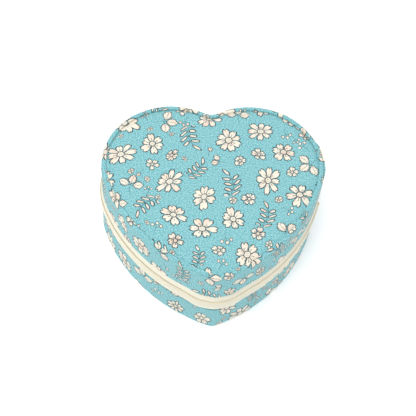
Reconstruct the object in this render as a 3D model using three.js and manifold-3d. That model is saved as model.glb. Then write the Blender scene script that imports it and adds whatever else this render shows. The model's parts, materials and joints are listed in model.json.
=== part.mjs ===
// Heart-shaped musical jewellery case: a zipped, fabric-covered board case with a
// wind-up musical movement under a cover in its left lobe and a winding key in a
// well underneath. Millimetres, +Z up. The origin is on the underside, midway
// between the lobes' outer sides, so the case stands on the plane z = 0. The lobes
// and the cleft point to +Y, the tip points to -Y, and the hinge is on the +X side.
import * as THREE from 'three';
import { mergeVertices } from 'three/addons/utils/BufferGeometryUtils.js';
import Module from 'manifold-3d';

const wasm = await Module();
wasm.setup();

// Overall size.
const WIDTH = 110;              // across both lobes
const TIP_Y = -50;              // the tip's place in front of the origin
const CASE_HEIGHT = 50;         // table to lid top
const SPLIT_Z = 26.5;           // height at which lid and base part

// Heart outline: two lobe arcs, two flat side arcs, a tip arc and a cleft arc, all tangent.
const LOBE_RADIUS = 35.2;
const LOBE_CENTRE_Y = 14.8;
const SIDE_RADIUS = 86;
const TIP_RADIUS = 5.3;
const CLEFT_RADIUS = 7;
const LOBE_STEP = THREE.MathUtils.degToRad(11);
const FINE_STEPS = 6;
const CORNER_STEPS = 4;

// Walls, from the outside in.
const GAP = 0.2;                // glue line between neighbouring layers
const COVER_THICK = 0.6;        // printed cotton on thin wadding
const BOARD_THICK = 1.8;        // grey board walls
const PANEL_BOARD = 2;          // grey board of the lid top and the bottom
const LINING_THICK = 0.8;       // velvet
const RIM_TURN = 2.2;           // side cover turned over the lid's top edge
const RIM_THICK = 0.7;
const TOP_PANEL_THICK = 1.1;    // padded top panel inside the rim
const MIRROR_THICK = 2;
const MIRROR_INSET = 6;         // width of the padded frame round the mirror

// Zip.
const TAPE_LOW_Z = 20;
const TAPE_HIGH_Z = 30.2;
const TAPE_THICK = 0.6;
const TAPE_PROUD = 0.1;
const COIL_WIDTH = 1.8;         // one half of the closed coil
const COIL_THICK = 1.1;
const COIL_GAP = 0.1;           // half of the space between the two coils
const SLIDER_ANGLE = 85;        // degrees round the right lobe, at rest
const SLIDER_LENGTH = 8.6;
const SLIDER_HEIGHT = 6.4;
const SLIDER_THICK = 1.2;
const BRIDGE_LENGTH = 6;
const BRIDGE_RISE = 2.2;
const BRIDGE_WIDTH = 1.8;
const PULLER_LENGTH = 17;
const PULLER_WIDTH = 4.4;
const PULLER_THICK = 0.9;

// Hinge: a fabric patch over both walls at the outermost part of the right lobe.
const PATCH_ANGLES = [-10, 22]; // degrees round the right lobe
const PATCH_THICK = 1;
const PATCH_MARGIN = 1;         // left bare at the top and bottom edges
const ZIP_END_GAP = 2;          // degrees between the patch and the tape ends
const STOP_ANGLE = 2.5;         // degrees covered by a zip end stop

// Winding key, its well, and the mainspring's arbor.
const KEY_AXIS = [-31, 14];
const WELL_RADIUS = 11;
const WELL_WALL = 1;
const WELL_DEPTH = 6;
const KEY_HALF_SPAN = 8.5;
const KEY_THICK = 1.6;
const KEY_HEIGHT = 4.8;
const ARBOR_RADIUS = 1.5;
const SHAFT_CLEAR = 0.25;

// Movement. Its parts are placed from the arbor, with the cylinder along +X.
const PLATFORM_THICK = 3;
const PLATFORM_RIM = 0.3;       // wood left round the key well
const BEDPLATE_THICK = 1.2;
const BEDPLATE_X = [-11.5, 35.7];
const BEDPLATE_Y = [-13, 16.5];
const BARREL_RADIUS = 10.5;
const BARREL_HEIGHT = 5.3;
const SHEET = 0.6;              // barrel sheet thickness
const GEAR_THICK = 1;
const CROWN_TEETH = 32;
const PINION_TEETH = 16;
const PINION_MODULE = 0.5;
const DRIVE_TEETH = 30;
const GOVERNOR_TEETH = 10;
const WORM_WHEEL_TEETH = 20;
const FINE_MODULE = 0.3;
const MESH_CLEAR = 0.1;
const CYLINDER_RADIUS = 4.5;
const CYLINDER_LENGTH = 16;
const CYLINDER_START = 12.2;
const SPINDLE_RADIUS = 0.65;
const BRACKET_THICK = 0.8;
const COMB_NOTES = 18;
const COMB_THICK = 0.7;
const COMB_GAP = 0.25;
const COMB_TOOTH = 7.2;
const COMB_ROOT = 3.7;
const PIN_LENGTH = 0.6;         // pins on the cylinder reach this far, and the comb clears them
const WORM_RADIUS = 0.75;
const FAN_RADIUS = 2.6;
const FAN_HEIGHT = 4.5;
const LEVER_THICK = 1.4;
const LEVER_STALK = 1.2;
const LEVER_TRAVEL = 2.5;

// Inside the base.
const PARTITION = 1.5;
const CROSS_WALL_Y = -8;        // front face of the wall across the heart
const SIDE_WALL_X = 7.5;        // left face of the wall beside the ring rolls
const COVER_PLATE = 1.5;
const LEDGE_WIDTH = 1.5;        // strip on the side wall that carries the movement cover
const LEDGE_HEIGHT = 2.5;
const LEDGE_FRONT_GAP = 1;
const LEDGE_REAR_GAP = 5.5;
const ROLL_COUNT = 5;
const ROLL_WIDTH = 7.2;
const ROLL_HEIGHT = 13;
const ROLL_SPACE = 0.6;
const ROLL_MARGIN = 1;

// Heights that follow from the sizes above.
const BASE_PANEL_Z = COVER_THICK + GAP;
const BOARD_TOP_Z = BASE_PANEL_Z + PANEL_BOARD;
const FLOOR_Z = BOARD_TOP_Z + GAP + LINING_THICK;
const BASE_RIM_Z = SPLIT_Z - 0.5;
const LID_RIM_Z = SPLIT_Z + 0.5;
const WELL_TOP_Z = WELL_DEPTH + WELL_WALL;
const BED_Z = WELL_TOP_Z + GAP;
const BED_TOP_Z = BED_Z + BEDPLATE_THICK;
const BARREL_Z = BED_TOP_Z + 0.3;
const CROWN_Z = BARREL_Z + BARREL_HEIGHT + 0.3;
const PINION_PITCH = PINION_TEETH * PINION_MODULE / 2;
const AXIS_Z = CROWN_Z + GEAR_THICK + PINION_PITCH;
const CROWN_PITCH = CROWN_TEETH * PINION_MODULE / 2;
const CYLINDER_END = CYLINDER_START + CYLINDER_LENGTH;
const DRIVE_X = CYLINDER_END + 0.4;
const RIGHT_BRACKET_X = DRIVE_X + GEAR_THICK + 0.3;
const GOVERNOR_Y = -(DRIVE_TEETH + GOVERNOR_TEETH) * FINE_MODULE / 2 - MESH_CLEAR;
const WORM_WHEEL_X = RIGHT_BRACKET_X + BRACKET_THICK + 0.7;
const WORM_X = WORM_WHEEL_X + GEAR_THICK / 2;
const WORM_WHEEL_TIP = WORM_WHEEL_TEETH * FINE_MODULE / 2 + FINE_MODULE / 2;
const WORM_Y = GOVERNOR_Y - WORM_WHEEL_TIP - MESH_CLEAR - WORM_RADIUS;
const FAN_Z = BED_TOP_Z + 2.2;
const COMB_TIP_Y = CYLINDER_RADIUS + PIN_LENGTH;
const COVER_PLATE_Z = BASE_RIM_Z - COVER_PLATE - 0.1;
const LID_BOARD_TOP = CASE_HEIGHT - TOP_PANEL_THICK - GAP;
const LID_BOARD_Z = LID_BOARD_TOP - PANEL_BOARD;
const CEILING_Z = LID_BOARD_Z - GAP - LINING_THICK;

// Offsets of the layers from the outline.
const BOARD_OUT = -COVER_THICK - GAP;
const BOARD_IN = BOARD_OUT - BOARD_THICK;
const LINING_OUT = BOARD_IN - GAP;
const LINING_IN = LINING_OUT - LINING_THICK;
const TAPE_OUT = TAPE_PROUD;
const COIL_OUT = TAPE_OUT + GAP + COIL_THICK;
const SLIDER_OUT = COIL_OUT + 0.3;

const LOBE_X = WIDTH / 2 - LOBE_RADIUS;
const deg = THREE.MathUtils.degToRad;

const group = new THREE.Group();

const FINISH = {
  print: { color: 0x8fcdd4, roughness: 0.85, metalness: 0 },
  board: { color: 0x9a9184, roughness: 0.9, metalness: 0 },
  velvet: { color: 0xeadfcf, roughness: 0.95, metalness: 0 },
  tape: { color: 0xedead4, roughness: 0.8, metalness: 0 },
  coil: { color: 0xecdec3, roughness: 0.45, metalness: 0 },
  gilt: { color: 0xd9b56a, roughness: 0.3, metalness: 1 },
  steel: { color: 0xb8babd, roughness: 0.3, metalness: 1 },
  zinc: { color: 0xa9abab, roughness: 0.45, metalness: 1 },
  brass: { color: 0xc9a14f, roughness: 0.3, metalness: 1 },
  plastic: { color: 0xf1ece0, roughness: 0.4, metalness: 0 },
  clear: { color: 0xf4f8fa, roughness: 0.08, metalness: 0 },
  mirror: { color: 0xe9eef0, roughness: 0.03, metalness: 1 },
  plywood: { color: 0xc9a878, roughness: 0.7, metalness: 0 },
};

function add(name, geometry, finish, parent = group) {
  const mesh = new THREE.Mesh(geometry, new THREE.MeshStandardMaterial(FINISH[finish]));
  mesh.name = name;
  parent.add(mesh);
  return mesh;
}

// ---- Heart outline ----

function arc(centre, radius, from, to, steps) {
  const points = [];
  for (let i = 0; i <= steps; i += 1) {
    const a = from + (to - from) * i / steps;
    points.push(new THREE.Vector2(centre.x + radius * Math.cos(a), centre.y + radius * Math.sin(a)));
  }
  return points;
}

// Centres of the right lobe, right side, tip and cleft arcs, from their tangency.
function arcCentres() {
  const lobe = new THREE.Vector2(LOBE_X, LOBE_CENTRE_Y);
  const tip = new THREE.Vector2(0, TIP_Y + TIP_RADIUS);
  const toLobe = lobe.clone().sub(tip);
  const span = toLobe.length();
  const fromTip = SIDE_RADIUS - TIP_RADIUS;
  const fromLobe = SIDE_RADIUS - LOBE_RADIUS;
  const along = (fromTip ** 2 - fromLobe ** 2 + span ** 2) / (2 * span);
  const across = Math.sqrt(fromTip ** 2 - along ** 2);
  const unit = toLobe.normalize();
  const normal = new THREE.Vector2(-unit.y, unit.x);
  const side = tip.clone().addScaledVector(unit, along).addScaledVector(normal, across);
  const rise = Math.sqrt((LOBE_RADIUS + CLEFT_RADIUS) ** 2 - LOBE_X ** 2);
  const cleft = new THREE.Vector2(0, LOBE_CENTRE_Y + rise);
  return { lobe, tip, side, cleft };
}

// The outline moved outwards by `off`, counterclockwise from angle `from` round the
// right lobe over both lobes and the tip, and back to angle `to` on the right lobe.
// Where an inward move uses up the tip arc, the side arcs meet in a point instead.
function outline(off, from = 0, to = 0) {
  const { lobe, tip, side, cleft } = arcCentres();
  const angle = (a, b) => Math.atan2(b.y - a.y, b.x - a.x);
  const mirrored = (points) => points.map((p) => new THREE.Vector2(-p.x, p.y)).reverse();
  const lobeR = LOBE_RADIUS + off;
  const atCleft = angle(lobe, cleft);
  const atSide = angle(side, lobe);
  const stepsOf = (span) => Math.max(1, Math.ceil(Math.abs(span) / LOBE_STEP));
  const lobeArc = (a, b) => arc(lobe, lobeR, a, b, stepsOf(b - a));
  const cleftStart = angle(cleft, lobe);
  const cleftArc = arc(cleft, CLEFT_RADIUS - off, cleftStart, -Math.PI - cleftStart, CORNER_STEPS);
  const rounded = TIP_RADIUS + off > 0.5;
  const depth = Math.sqrt((SIDE_RADIUS + off) ** 2 - side.x ** 2);
  const tipAngle = rounded ? angle(side, tip) : Math.atan2(-depth, -side.x);
  const sideArc = arc(side, SIDE_RADIUS + off, tipAngle, atSide, FINE_STEPS);
  const tipArc = rounded
    ? arc(tip, TIP_RADIUS + off, Math.PI - tipAngle, 2 * Math.PI + tipAngle, CORNER_STEPS)
    : [];
  const wholeLobe = lobeArc(atSide, atCleft);
  const points = [
    ...lobeArc(from, atCleft), ...cleftArc, ...mirrored(wholeLobe), ...mirrored(sideArc),
    ...tipArc, ...sideArc, ...lobeArc(atSide, to),
  ];
  return points.filter((p, i) => i === 0 || p.distanceTo(points[i - 1]) > 1e-4);
}

function heartShape(off) {
  const points = outline(off);
  points.pop();
  return new THREE.Shape(points);
}

function circleHole(x, y, radius, sides = 16) {
  const centre = new THREE.Vector2(x, y);
  const points = arc(centre, radius, 0, 2 * Math.PI, sides);
  points.pop();
  return new THREE.Path(points.reverse());
}

function circleShape(radius, sides = 16) {
  const points = arc(new THREE.Vector2(0, 0), radius, 0, 2 * Math.PI, sides);
  points.pop();
  return new THREE.Shape(points);
}

function rectangle(x0, y0, x1, y1) {
  return new THREE.Shape([[x0, y0], [x1, y0], [x1, y1], [x0, y1]].map((p) => new THREE.Vector2(...p)));
}

// ---- Solids ----

function slab(shape, low, high) {
  const geometry = new THREE.ExtrudeGeometry(shape, { depth: high - low, bevelEnabled: false });
  return geometry.translate(0, 0, low);
}

function box(x0, y0, z0, x1, y1, z1) {
  return slab(rectangle(x0, y0, x1, y1), z0, z1);
}

// A shape drawn in (Y, Z), given thickness from x0 to x1.
function alongX(shape, x0, x1) {
  const turn = new THREE.Matrix4().makeBasis(
    new THREE.Vector3(0, 1, 0), new THREE.Vector3(0, 0, 1), new THREE.Vector3(1, 0, 0),
  );
  return slab(shape, x0, x1).applyMatrix4(turn);
}

// A shape drawn in (X, Z), given thickness from y0 to y1.
function alongY(shape, y0, y1) {
  return slab(shape, -y1, -y0).rotateX(Math.PI / 2);
}

function ring(outer, inner, low, high) {
  const shape = heartShape(outer);
  shape.holes.push(new THREE.Path(heartShape(inner).getPoints().reverse()));
  return slab(shape, low, high);
}

// A band along the outline, open at the hinge, between two angles on the right lobe.
function band(outer, inner, low, high, from, to) {
  const points = [...outline(outer, deg(from), deg(to)), ...outline(inner, deg(from), deg(to)).reverse()];
  return slab(new THREE.Shape(points), low, high);
}

// A short curved piece on the right lobe's wall.
function lobePiece(outer, inner, low, high, from, to, steps) {
  const centre = new THREE.Vector2(LOBE_X, LOBE_CENTRE_Y);
  const points = [
    ...arc(centre, LOBE_RADIUS + outer, deg(from), deg(to), steps),
    ...arc(centre, LOBE_RADIUS + inner, deg(from), deg(to), steps).reverse(),
  ];
  return slab(new THREE.Shape(points), low, high);
}

function solid(geometry) {
  const bare = geometry.clone();
  bare.deleteAttribute('normal');
  bare.deleteAttribute('uv');
  const merged = mergeVertices(bare.index ? bare.toNonIndexed() : bare, 1e-4);
  return new wasm.Manifold(new wasm.Mesh({
    numProp: 3,
    vertProperties: new Float32Array(merged.attributes.position.array),
    triVerts: new Uint32Array(merged.index.array),
  }));
}

function geometryOf(manifold) {
  const mesh = manifold.getMesh();
  const geometry = new THREE.BufferGeometry();
  geometry.setAttribute('position', new THREE.BufferAttribute(mesh.vertProperties, 3));
  geometry.setIndex(new THREE.BufferAttribute(mesh.triVerts, 1));
  geometry.computeVertexNormals();
  return geometry;
}

function join(...geometries) {
  return geometryOf(geometries.map(solid).reduce((a, b) => a.add(b)));
}

function cut(geometry, ...tools) {
  return geometryOf(tools.map(solid).reduce((a, b) => a.subtract(b), solid(geometry)));
}

function shaftX(radius, x0, x1, y, z) {
  return alongX(circleShape(radius, 12), x0, x1).translate(0, y, z);
}

// Gear outline with straight-sided teeth; `turn` is the angle of the first tooth.
function gearShape(teeth, root, tip, turn, bore) {
  const points = [];
  const pitch = 2 * Math.PI / teeth;
  for (let i = 0; i < teeth; i += 1) {
    const a = turn + i * pitch;
    for (const [radius, share] of [[root, -0.24], [tip, -0.12], [tip, 0.12], [root, 0.24]]) {
      const angle = a + share * pitch;
      points.push(new THREE.Vector2(radius * Math.cos(angle), radius * Math.sin(angle)));
    }
  }
  const shape = new THREE.Shape(points);
  if (bore) shape.holes.push(circleHole(0, 0, bore, 12));
  return shape;
}

// ---- Base ----

const wellHole = (radius) => circleHole(...KEY_AXIS, radius, 24);

function baseBottomCover() {
  const shape = heartShape(BOARD_OUT);
  shape.holes.push(wellHole(WELL_RADIUS));
  return slab(shape, 0, COVER_THICK);
}

function baseBottomBoard() {
  const shape = heartShape(BOARD_OUT);
  shape.holes.push(wellHole(WELL_RADIUS + WELL_WALL + GAP));
  return slab(shape, BASE_PANEL_Z, BOARD_TOP_Z);
}

function baseFloorLining() {
  const shape = heartShape(LINING_OUT);
  shape.holes.push(wellHole(WELL_RADIUS + WELL_WALL + GAP));
  return slab(shape, BOARD_TOP_Z + GAP, FLOOR_Z);
}

// A cup that opens downwards, with a hole in its roof for the arbor.
function keyWell() {
  const hole = ARBOR_RADIUS + SHAFT_CLEAR;
  const profile = [
    [hole, WELL_DEPTH], [WELL_RADIUS, WELL_DEPTH], [WELL_RADIUS, BASE_PANEL_Z],
    [WELL_RADIUS + WELL_WALL, BASE_PANEL_Z], [WELL_RADIUS + WELL_WALL, WELL_TOP_Z],
    [hole, WELL_TOP_Z], [hole, WELL_DEPTH],
  ].map((p) => new THREE.Vector2(...p));
  return new THREE.LatheGeometry(profile, 24).rotateX(Math.PI / 2).translate(...KEY_AXIS, 0);
}

function addBase() {
  add('base_bottom_cover', baseBottomCover(), 'print');
  add('base_bottom_board', baseBottomBoard(), 'board');
  add('base_wall_board', ring(BOARD_OUT, BOARD_IN, BOARD_TOP_Z + GAP, BASE_RIM_Z), 'board');
  add('base_side_cover', ring(0, -COVER_THICK, GAP, TAPE_LOW_Z - GAP), 'print');
  add('base_floor_lining', baseFloorLining(), 'velvet');
  add('base_wall_lining', ring(LINING_OUT, LINING_IN, FLOOR_Z + GAP, BASE_RIM_Z), 'velvet');
  add('key_well', keyWell(), 'plastic');
}

// ---- Partitions, ring rolls and the movement's cover ----

const innerHeart = (low, high) => slab(heartShape(LINING_IN - GAP), low, high);

function clipped(geometry, x0, y0, x1, y1) {
  const tool = box(x0, y0, 0, x1, y1, CASE_HEIGHT);
  return geometryOf(solid(geometry).intersect(solid(tool)));
}

function crossWall() {
  const wall = innerHeart(FLOOR_Z + GAP, BASE_RIM_Z);
  return clipped(wall, -WIDTH, CROSS_WALL_Y, WIDTH, CROSS_WALL_Y + PARTITION);
}

function sideWall() {
  const low = CROSS_WALL_Y + PARTITION + GAP;
  const wall = innerHeart(FLOOR_Z + GAP, BASE_RIM_Z);
  return clipped(wall, SIDE_WALL_X, low, SIDE_WALL_X + PARTITION, WIDTH);
}

const WINDOW = [-39, 5.5, 3, 29];
const LEVER_X = KEY_AXIS[0] + WORM_X - LEVER_THICK / 2;
const LEVER_PAD_Y = KEY_AXIS[1] + WORM_Y - FAN_RADIUS - 0.3;
const LEVER_STALK_Y = LEVER_PAD_Y - 1.1 - LEVER_STALK;

function movementCover() {
  const plate = innerHeart(COVER_PLATE_Z, COVER_PLATE_Z + COVER_PLATE);
  const low = CROSS_WALL_Y + PARTITION + GAP;
  const lobe = clipped(plate, -WIDTH, low, SIDE_WALL_X - GAP, WIDTH);
  const window = box(WINDOW[0], WINDOW[1], COVER_PLATE_Z - 1, WINDOW[2], WINDOW[3], CASE_HEIGHT);
  const slot = box(
    LEVER_X - 0.4, LEVER_STALK_Y - LEVER_TRAVEL - 0.3, COVER_PLATE_Z - 1,
    LEVER_X + LEVER_THICK + 0.4, LEVER_STALK_Y + LEVER_STALK + 0.4, CASE_HEIGHT,
  );
  return cut(lobe, window, slot);
}

function addCompartments() {
  add('cross_wall', crossWall(), 'velvet');
  add('side_wall', sideWall(), 'velvet');
  add('movement_cover', movementCover(), 'velvet');
  const [x0, y0, x1, y1] = WINDOW;
  const pane = box(x0 + GAP, y0 + GAP, COVER_PLATE_Z, x1 - GAP, y1 - GAP, COVER_PLATE_Z + COVER_PLATE);
  add('movement_window', pane, 'clear');
  const innerCleftY = arcCentres().cleft.y - CLEFT_RADIUS + LINING_IN;
  const ledge = box(
    SIDE_WALL_X - LEDGE_WIDTH, CROSS_WALL_Y + PARTITION + LEDGE_FRONT_GAP, COVER_PLATE_Z - LEDGE_HEIGHT,
    SIDE_WALL_X - GAP, innerCleftY - LEDGE_REAR_GAP, COVER_PLATE_Z - GAP,
  );
  add('cover_ledge', ledge, 'board');
}

// How far a roll may reach towards the lining, for a roll whose far edge is at x.
function rollReach(x) {
  const room = LOBE_RADIUS + LINING_IN - ROLL_MARGIN;
  return Math.sqrt(room ** 2 - (x - LOBE_X) ** 2);
}

function ringRoll(index) {
  const left = SIDE_WALL_X + PARTITION + ROLL_SPACE + index * (ROLL_WIDTH + ROLL_SPACE);
  const right = left + ROLL_WIDTH;
  const reach = rollReach(right);
  const front = Math.max(CROSS_WALL_Y + PARTITION + ROLL_MARGIN, LOBE_CENTRE_Y - reach);
  const back = Math.min(LOBE_CENTRE_Y + reach, LOBE_CENTRE_Y + rollReach(LOBE_X + LOBE_RADIUS / 2) - 4);
  const half = ROLL_WIDTH / 2;
  const low = FLOOR_Z + GAP;
  const top = arc(new THREE.Vector2(left + half, low + ROLL_HEIGHT - half), half, 0, Math.PI, 6);
  const section = new THREE.Shape([new THREE.Vector2(left, low), new THREE.Vector2(right, low), ...top]);
  return alongY(section, front, back);
}

function addRingRolls() {
  for (let i = 0; i < ROLL_COUNT; i += 1) add(`ring_roll_${i + 1}`, ringRoll(i), 'velvet');
}

// ---- Lid ----

function lidSideCover() {
  const wall = ring(0, -COVER_THICK, TAPE_HIGH_Z + GAP, CASE_HEIGHT);
  const rim = ring(0, -RIM_TURN, CASE_HEIGHT - RIM_THICK, CASE_HEIGHT);
  return join(wall, rim);
}

function addLid() {
  add('lid_side_cover', lidSideCover(), 'print');
  const panel = heartShape(-RIM_TURN - GAP);
  add('lid_top_cover', slab(panel, LID_BOARD_TOP + GAP, CASE_HEIGHT), 'print');
  add('lid_top_board', slab(heartShape(BOARD_OUT), LID_BOARD_Z, LID_BOARD_TOP), 'board');
  add('lid_wall_board', ring(BOARD_OUT, BOARD_IN, LID_RIM_Z, LID_BOARD_Z - GAP), 'board');
  add('lid_ceiling_lining', slab(heartShape(LINING_OUT), CEILING_Z, LID_BOARD_Z - GAP), 'velvet');
  add('lid_wall_lining', ring(LINING_OUT, LINING_IN, LID_RIM_Z, CEILING_Z - GAP), 'velvet');
  const frameOut = LINING_IN - GAP;
  const frameIn = frameOut - MIRROR_INSET;
  const low = CEILING_Z - GAP - MIRROR_THICK;
  add('mirror_frame', ring(frameOut, frameIn, low, CEILING_Z - GAP), 'velvet');
  add('lid_mirror', slab(heartShape(frameIn - GAP), low, CEILING_Z - GAP), 'mirror');
}

// ---- Hinge patch and zip ----

const TAPE_FROM = PATCH_ANGLES[1] + ZIP_END_GAP;
const TAPE_TO = PATCH_ANGLES[0] - ZIP_END_GAP;
const COIL_FROM = TAPE_FROM + STOP_ANGLE + 0.5;
const COIL_TO = TAPE_TO - STOP_ANGLE - 0.5;

function addHingePatch() {
  const out = GAP + PATCH_THICK;
  const low = PATCH_MARGIN;
  const high = CASE_HEIGHT - PATCH_MARGIN;
  const [from, to] = PATCH_ANGLES;
  add('hinge_patch_lower', lobePiece(out, GAP, low, SPLIT_Z - 0.4, from, to, 5), 'print');
  add('hinge_patch_upper', lobePiece(out, GAP, SPLIT_Z + 0.4, high, from, to, 5), 'print');
}

function addZip() {
  const tapeIn = TAPE_OUT - TAPE_THICK;
  const coilIn = TAPE_OUT + GAP;
  const low = SPLIT_Z - COIL_GAP;
  const high = SPLIT_Z + COIL_GAP;
  add('zip_tape_lower', band(TAPE_OUT, tapeIn, TAPE_LOW_Z, low - 0.2, TAPE_FROM, TAPE_TO), 'tape');
  add('zip_tape_upper', band(TAPE_OUT, tapeIn, high + 0.2, TAPE_HIGH_Z, TAPE_FROM, TAPE_TO), 'tape');
  add('zip_coil_lower', band(COIL_OUT, coilIn, low - COIL_WIDTH, low, COIL_FROM, COIL_TO), 'coil');
  add('zip_coil_upper', band(COIL_OUT, coilIn, high, high + COIL_WIDTH, COIL_FROM, COIL_TO), 'coil');
  const stops = [['rear', TAPE_FROM, TAPE_FROM + STOP_ANGLE], ['front', TAPE_TO - STOP_ANGLE, TAPE_TO]];
  for (const [end, from, to] of stops) {
    const stop = lobePiece(COIL_OUT, coilIn, low - COIL_WIDTH - 0.6, low, from, to, 1);
    add(`zip_stop_${end}`, stop, 'gilt');
  }
}

// The slider is drawn with +X pointing out of the wall, then turned round the lobe.
function sliderBody() {
  const inner = LOBE_RADIUS + SLIDER_OUT;
  const outer = inner + SLIDER_THICK;
  const halfL = SLIDER_LENGTH / 2;
  const halfH = SLIDER_HEIGHT / 2;
  const wing = new THREE.Shape([
    [-halfL, -halfH], [halfL - 1.4, -halfH], [halfL, -halfH * 0.55],
    [halfL, halfH * 0.55], [halfL - 1.4, halfH], [-halfL, halfH],
  ].map((p) => new THREE.Vector2(...p)));
  const plate = alongX(wing, inner, outer).translate(0, 0, SPLIT_Z);
  const lip = SPLIT_Z - halfH;
  const flange = box(LOBE_RADIUS + TAPE_OUT + 0.4, -halfL, lip, inner + 0.2, halfL - 1.4, lip + 0.8);
  const foot = BRIDGE_LENGTH / 2;
  const half = BRIDGE_WIDTH / 2;
  const arch = box(outer - 0.1, -foot, -half, outer + BRIDGE_RISE, foot, half);
  const eye = box(outer, -foot + 1.1, -half - 1, outer + BRIDGE_RISE - 0.8, foot - 1.1, half + 1);
  return join(plate, flange, cut(arch, eye).translate(0, 0, SPLIT_Z));
}

const PULLER_PIVOT = SLIDER_OUT + SLIDER_THICK + 0.7;

// A stirrup whose crossbar lies under the slider's bridge, and a rounded tab.
function zipPuller() {
  const x = LOBE_RADIUS + PULLER_PIVOT;
  const reach = BRIDGE_LENGTH / 2 + 0.6;
  const half = PULLER_WIDTH / 2;
  const inner = BRIDGE_WIDTH / 2 + 0.35;
  const round = arc(new THREE.Vector2(-PULLER_LENGTH + half, 0), half, 1.5 * Math.PI, 0.5 * Math.PI, 8);
  const tab = new THREE.Shape([
    new THREE.Vector2(0.45, -half), ...round, new THREE.Vector2(0.45, half),
  ].reverse());
  tab.holes.push(new THREE.Path([
    [-0.45, -inner], [-reach, -inner], [-reach, inner], [-0.45, inner],
  ].map((p) => new THREE.Vector2(...p))));
  return alongX(tab, x - PULLER_THICK / 2, x + PULLER_THICK / 2).translate(0, 0, SPLIT_Z);
}

function addSlider() {
  const turned = new THREE.Group();
  turned.position.set(LOBE_X, LOBE_CENTRE_Y, 0);
  turned.rotation.z = deg(SLIDER_ANGLE);
  group.add(turned);
  add('zip_slider', sliderBody(), 'gilt', turned);
  add('zip_puller', zipPuller(), 'gilt', turned);
}

// ---- Winding key and mainspring ----

const movement = new THREE.Group();
movement.position.set(...KEY_AXIS, 0);
group.add(movement);

function windingKey() {
  const low = BASE_PANEL_Z;
  const high = low + KEY_HEIGHT;
  const waist = 2.6;
  const wings = new THREE.Shape([
    [-KEY_HALF_SPAN, low + 0.8], [-KEY_HALF_SPAN + 0.8, low], [-waist, low + 1.2], [waist, low + 1.2],
    [KEY_HALF_SPAN - 0.8, low], [KEY_HALF_SPAN, low + 0.8], [KEY_HALF_SPAN, high - 1.6],
    [KEY_HALF_SPAN - 1.4, high - 0.4], [waist, high - 0.6], [-waist, high - 0.6],
    [-KEY_HALF_SPAN + 1.4, high - 0.4], [-KEY_HALF_SPAN, high - 1.6],
  ].map((p) => new THREE.Vector2(...p)));
  const blade = alongY(wings, -KEY_THICK / 2, KEY_THICK / 2);
  const hub = slab(circleShape(ARBOR_RADIUS + 0.7), low + 1.2, high);
  return join(blade, hub);
}

function springBarrel() {
  const bore = ARBOR_RADIUS + SHAFT_CLEAR;
  const top = BARREL_Z + BARREL_HEIGHT;
  const profile = [
    [bore, BARREL_Z], [bore, BARREL_Z + SHEET], [BARREL_RADIUS - SHEET, BARREL_Z + SHEET],
    [BARREL_RADIUS - SHEET, top - SHEET], [bore, top - SHEET], [bore, top],
    [BARREL_RADIUS, top], [BARREL_RADIUS, BARREL_Z], [bore, BARREL_Z],
  ].map((p) => new THREE.Vector2(...p)).reverse();
  return new THREE.LatheGeometry(profile, 24).rotateX(Math.PI / 2);
}

// The wound ribbon, a spiral from the arbor out to the barrel wall.
function mainspring() {
  const turns = 3;
  const steps = 42;
  const first = ARBOR_RADIUS + 1;
  const last = BARREL_RADIUS - SHEET - 0.5;
  const spiral = (shift) => Array.from({ length: steps + 1 }, (_, i) => {
    const radius = first + (last - first) * i / steps + shift;
    const a = 2 * Math.PI * turns * i / steps;
    return new THREE.Vector2(radius * Math.cos(a), radius * Math.sin(a));
  });
  const shape = new THREE.Shape([...spiral(0.3), ...spiral(-0.3).reverse()]);
  return slab(shape, BARREL_Z + SHEET + 0.3, BARREL_Z + BARREL_HEIGHT - SHEET - 0.3);
}

function addWinding() {
  add('winding_key', windingKey(), 'brass', movement);
  const arborLow = BASE_PANEL_Z + KEY_HEIGHT + 0.2;
  const arborHigh = CROWN_Z + GEAR_THICK + 0.8;
  add('key_arbor', slab(circleShape(ARBOR_RADIUS), arborLow, arborHigh), 'steel', movement);
  add('spring_barrel', springBarrel(), 'steel', movement);
  add('mainspring', mainspring(), 'steel', movement);
  const halfPitch = Math.PI / CROWN_TEETH;
  const crown = gearShape(CROWN_TEETH, CROWN_PITCH - 0.8, CROWN_PITCH + 0.6, halfPitch, ARBOR_RADIUS + 0.2);
  add('barrel_gear', slab(crown, CROWN_Z, CROWN_Z + GEAR_THICK), 'brass', movement);
}

// ---- Cylinder, comb and governor ----

function screwHead(x, y, z, radius = 1.3) {
  const head = slab(circleShape(radius, 12), z, z + 0.9).translate(x, y, 0);
  const slot = box(x - radius, y - 0.2, z + 0.5, x + radius, y + 0.2, z + 2);
  return cut(head, slot);
}

function addBedplate() {
  const [x0, x1] = BEDPLATE_X;
  const [y0, y1] = BEDPLATE_Y;
  const holeRadius = WELL_RADIUS + WELL_WALL + GAP;
  const reach = holeRadius + PLATFORM_RIM;
  const [left, front] = [Math.min(x0 - 1, -reach), Math.min(y0 - 1.5, -reach)];
  const platform = rectangle(left, front, Math.max(x1 + 1, reach), Math.max(y1 + 1, reach));
  platform.holes.push(circleHole(0, 0, holeRadius, 24));
  const platformLow = Math.max(FLOOR_Z + GAP, WELL_TOP_Z - PLATFORM_THICK);
  add('movement_platform', slab(platform, platformLow, WELL_TOP_Z), 'plywood', movement);
  const plate = rectangle(x0, y0, x1, y1);
  plate.holes.push(circleHole(0, 0, ARBOR_RADIUS + SHAFT_CLEAR));
  add('movement_bedplate', slab(plate, BED_Z, BED_TOP_Z), 'zinc', movement);
  const places = [[x0 + 2, y0 + 2], [x0 + 2, y1 - 2], [x1 - 2.2, y1 - 2]];
  places.forEach(([x, y], i) => {
    add(`bedplate_screw_${i + 1}`, screwHead(x, y, BED_TOP_Z + GAP), 'steel', movement);
  });
}

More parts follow.
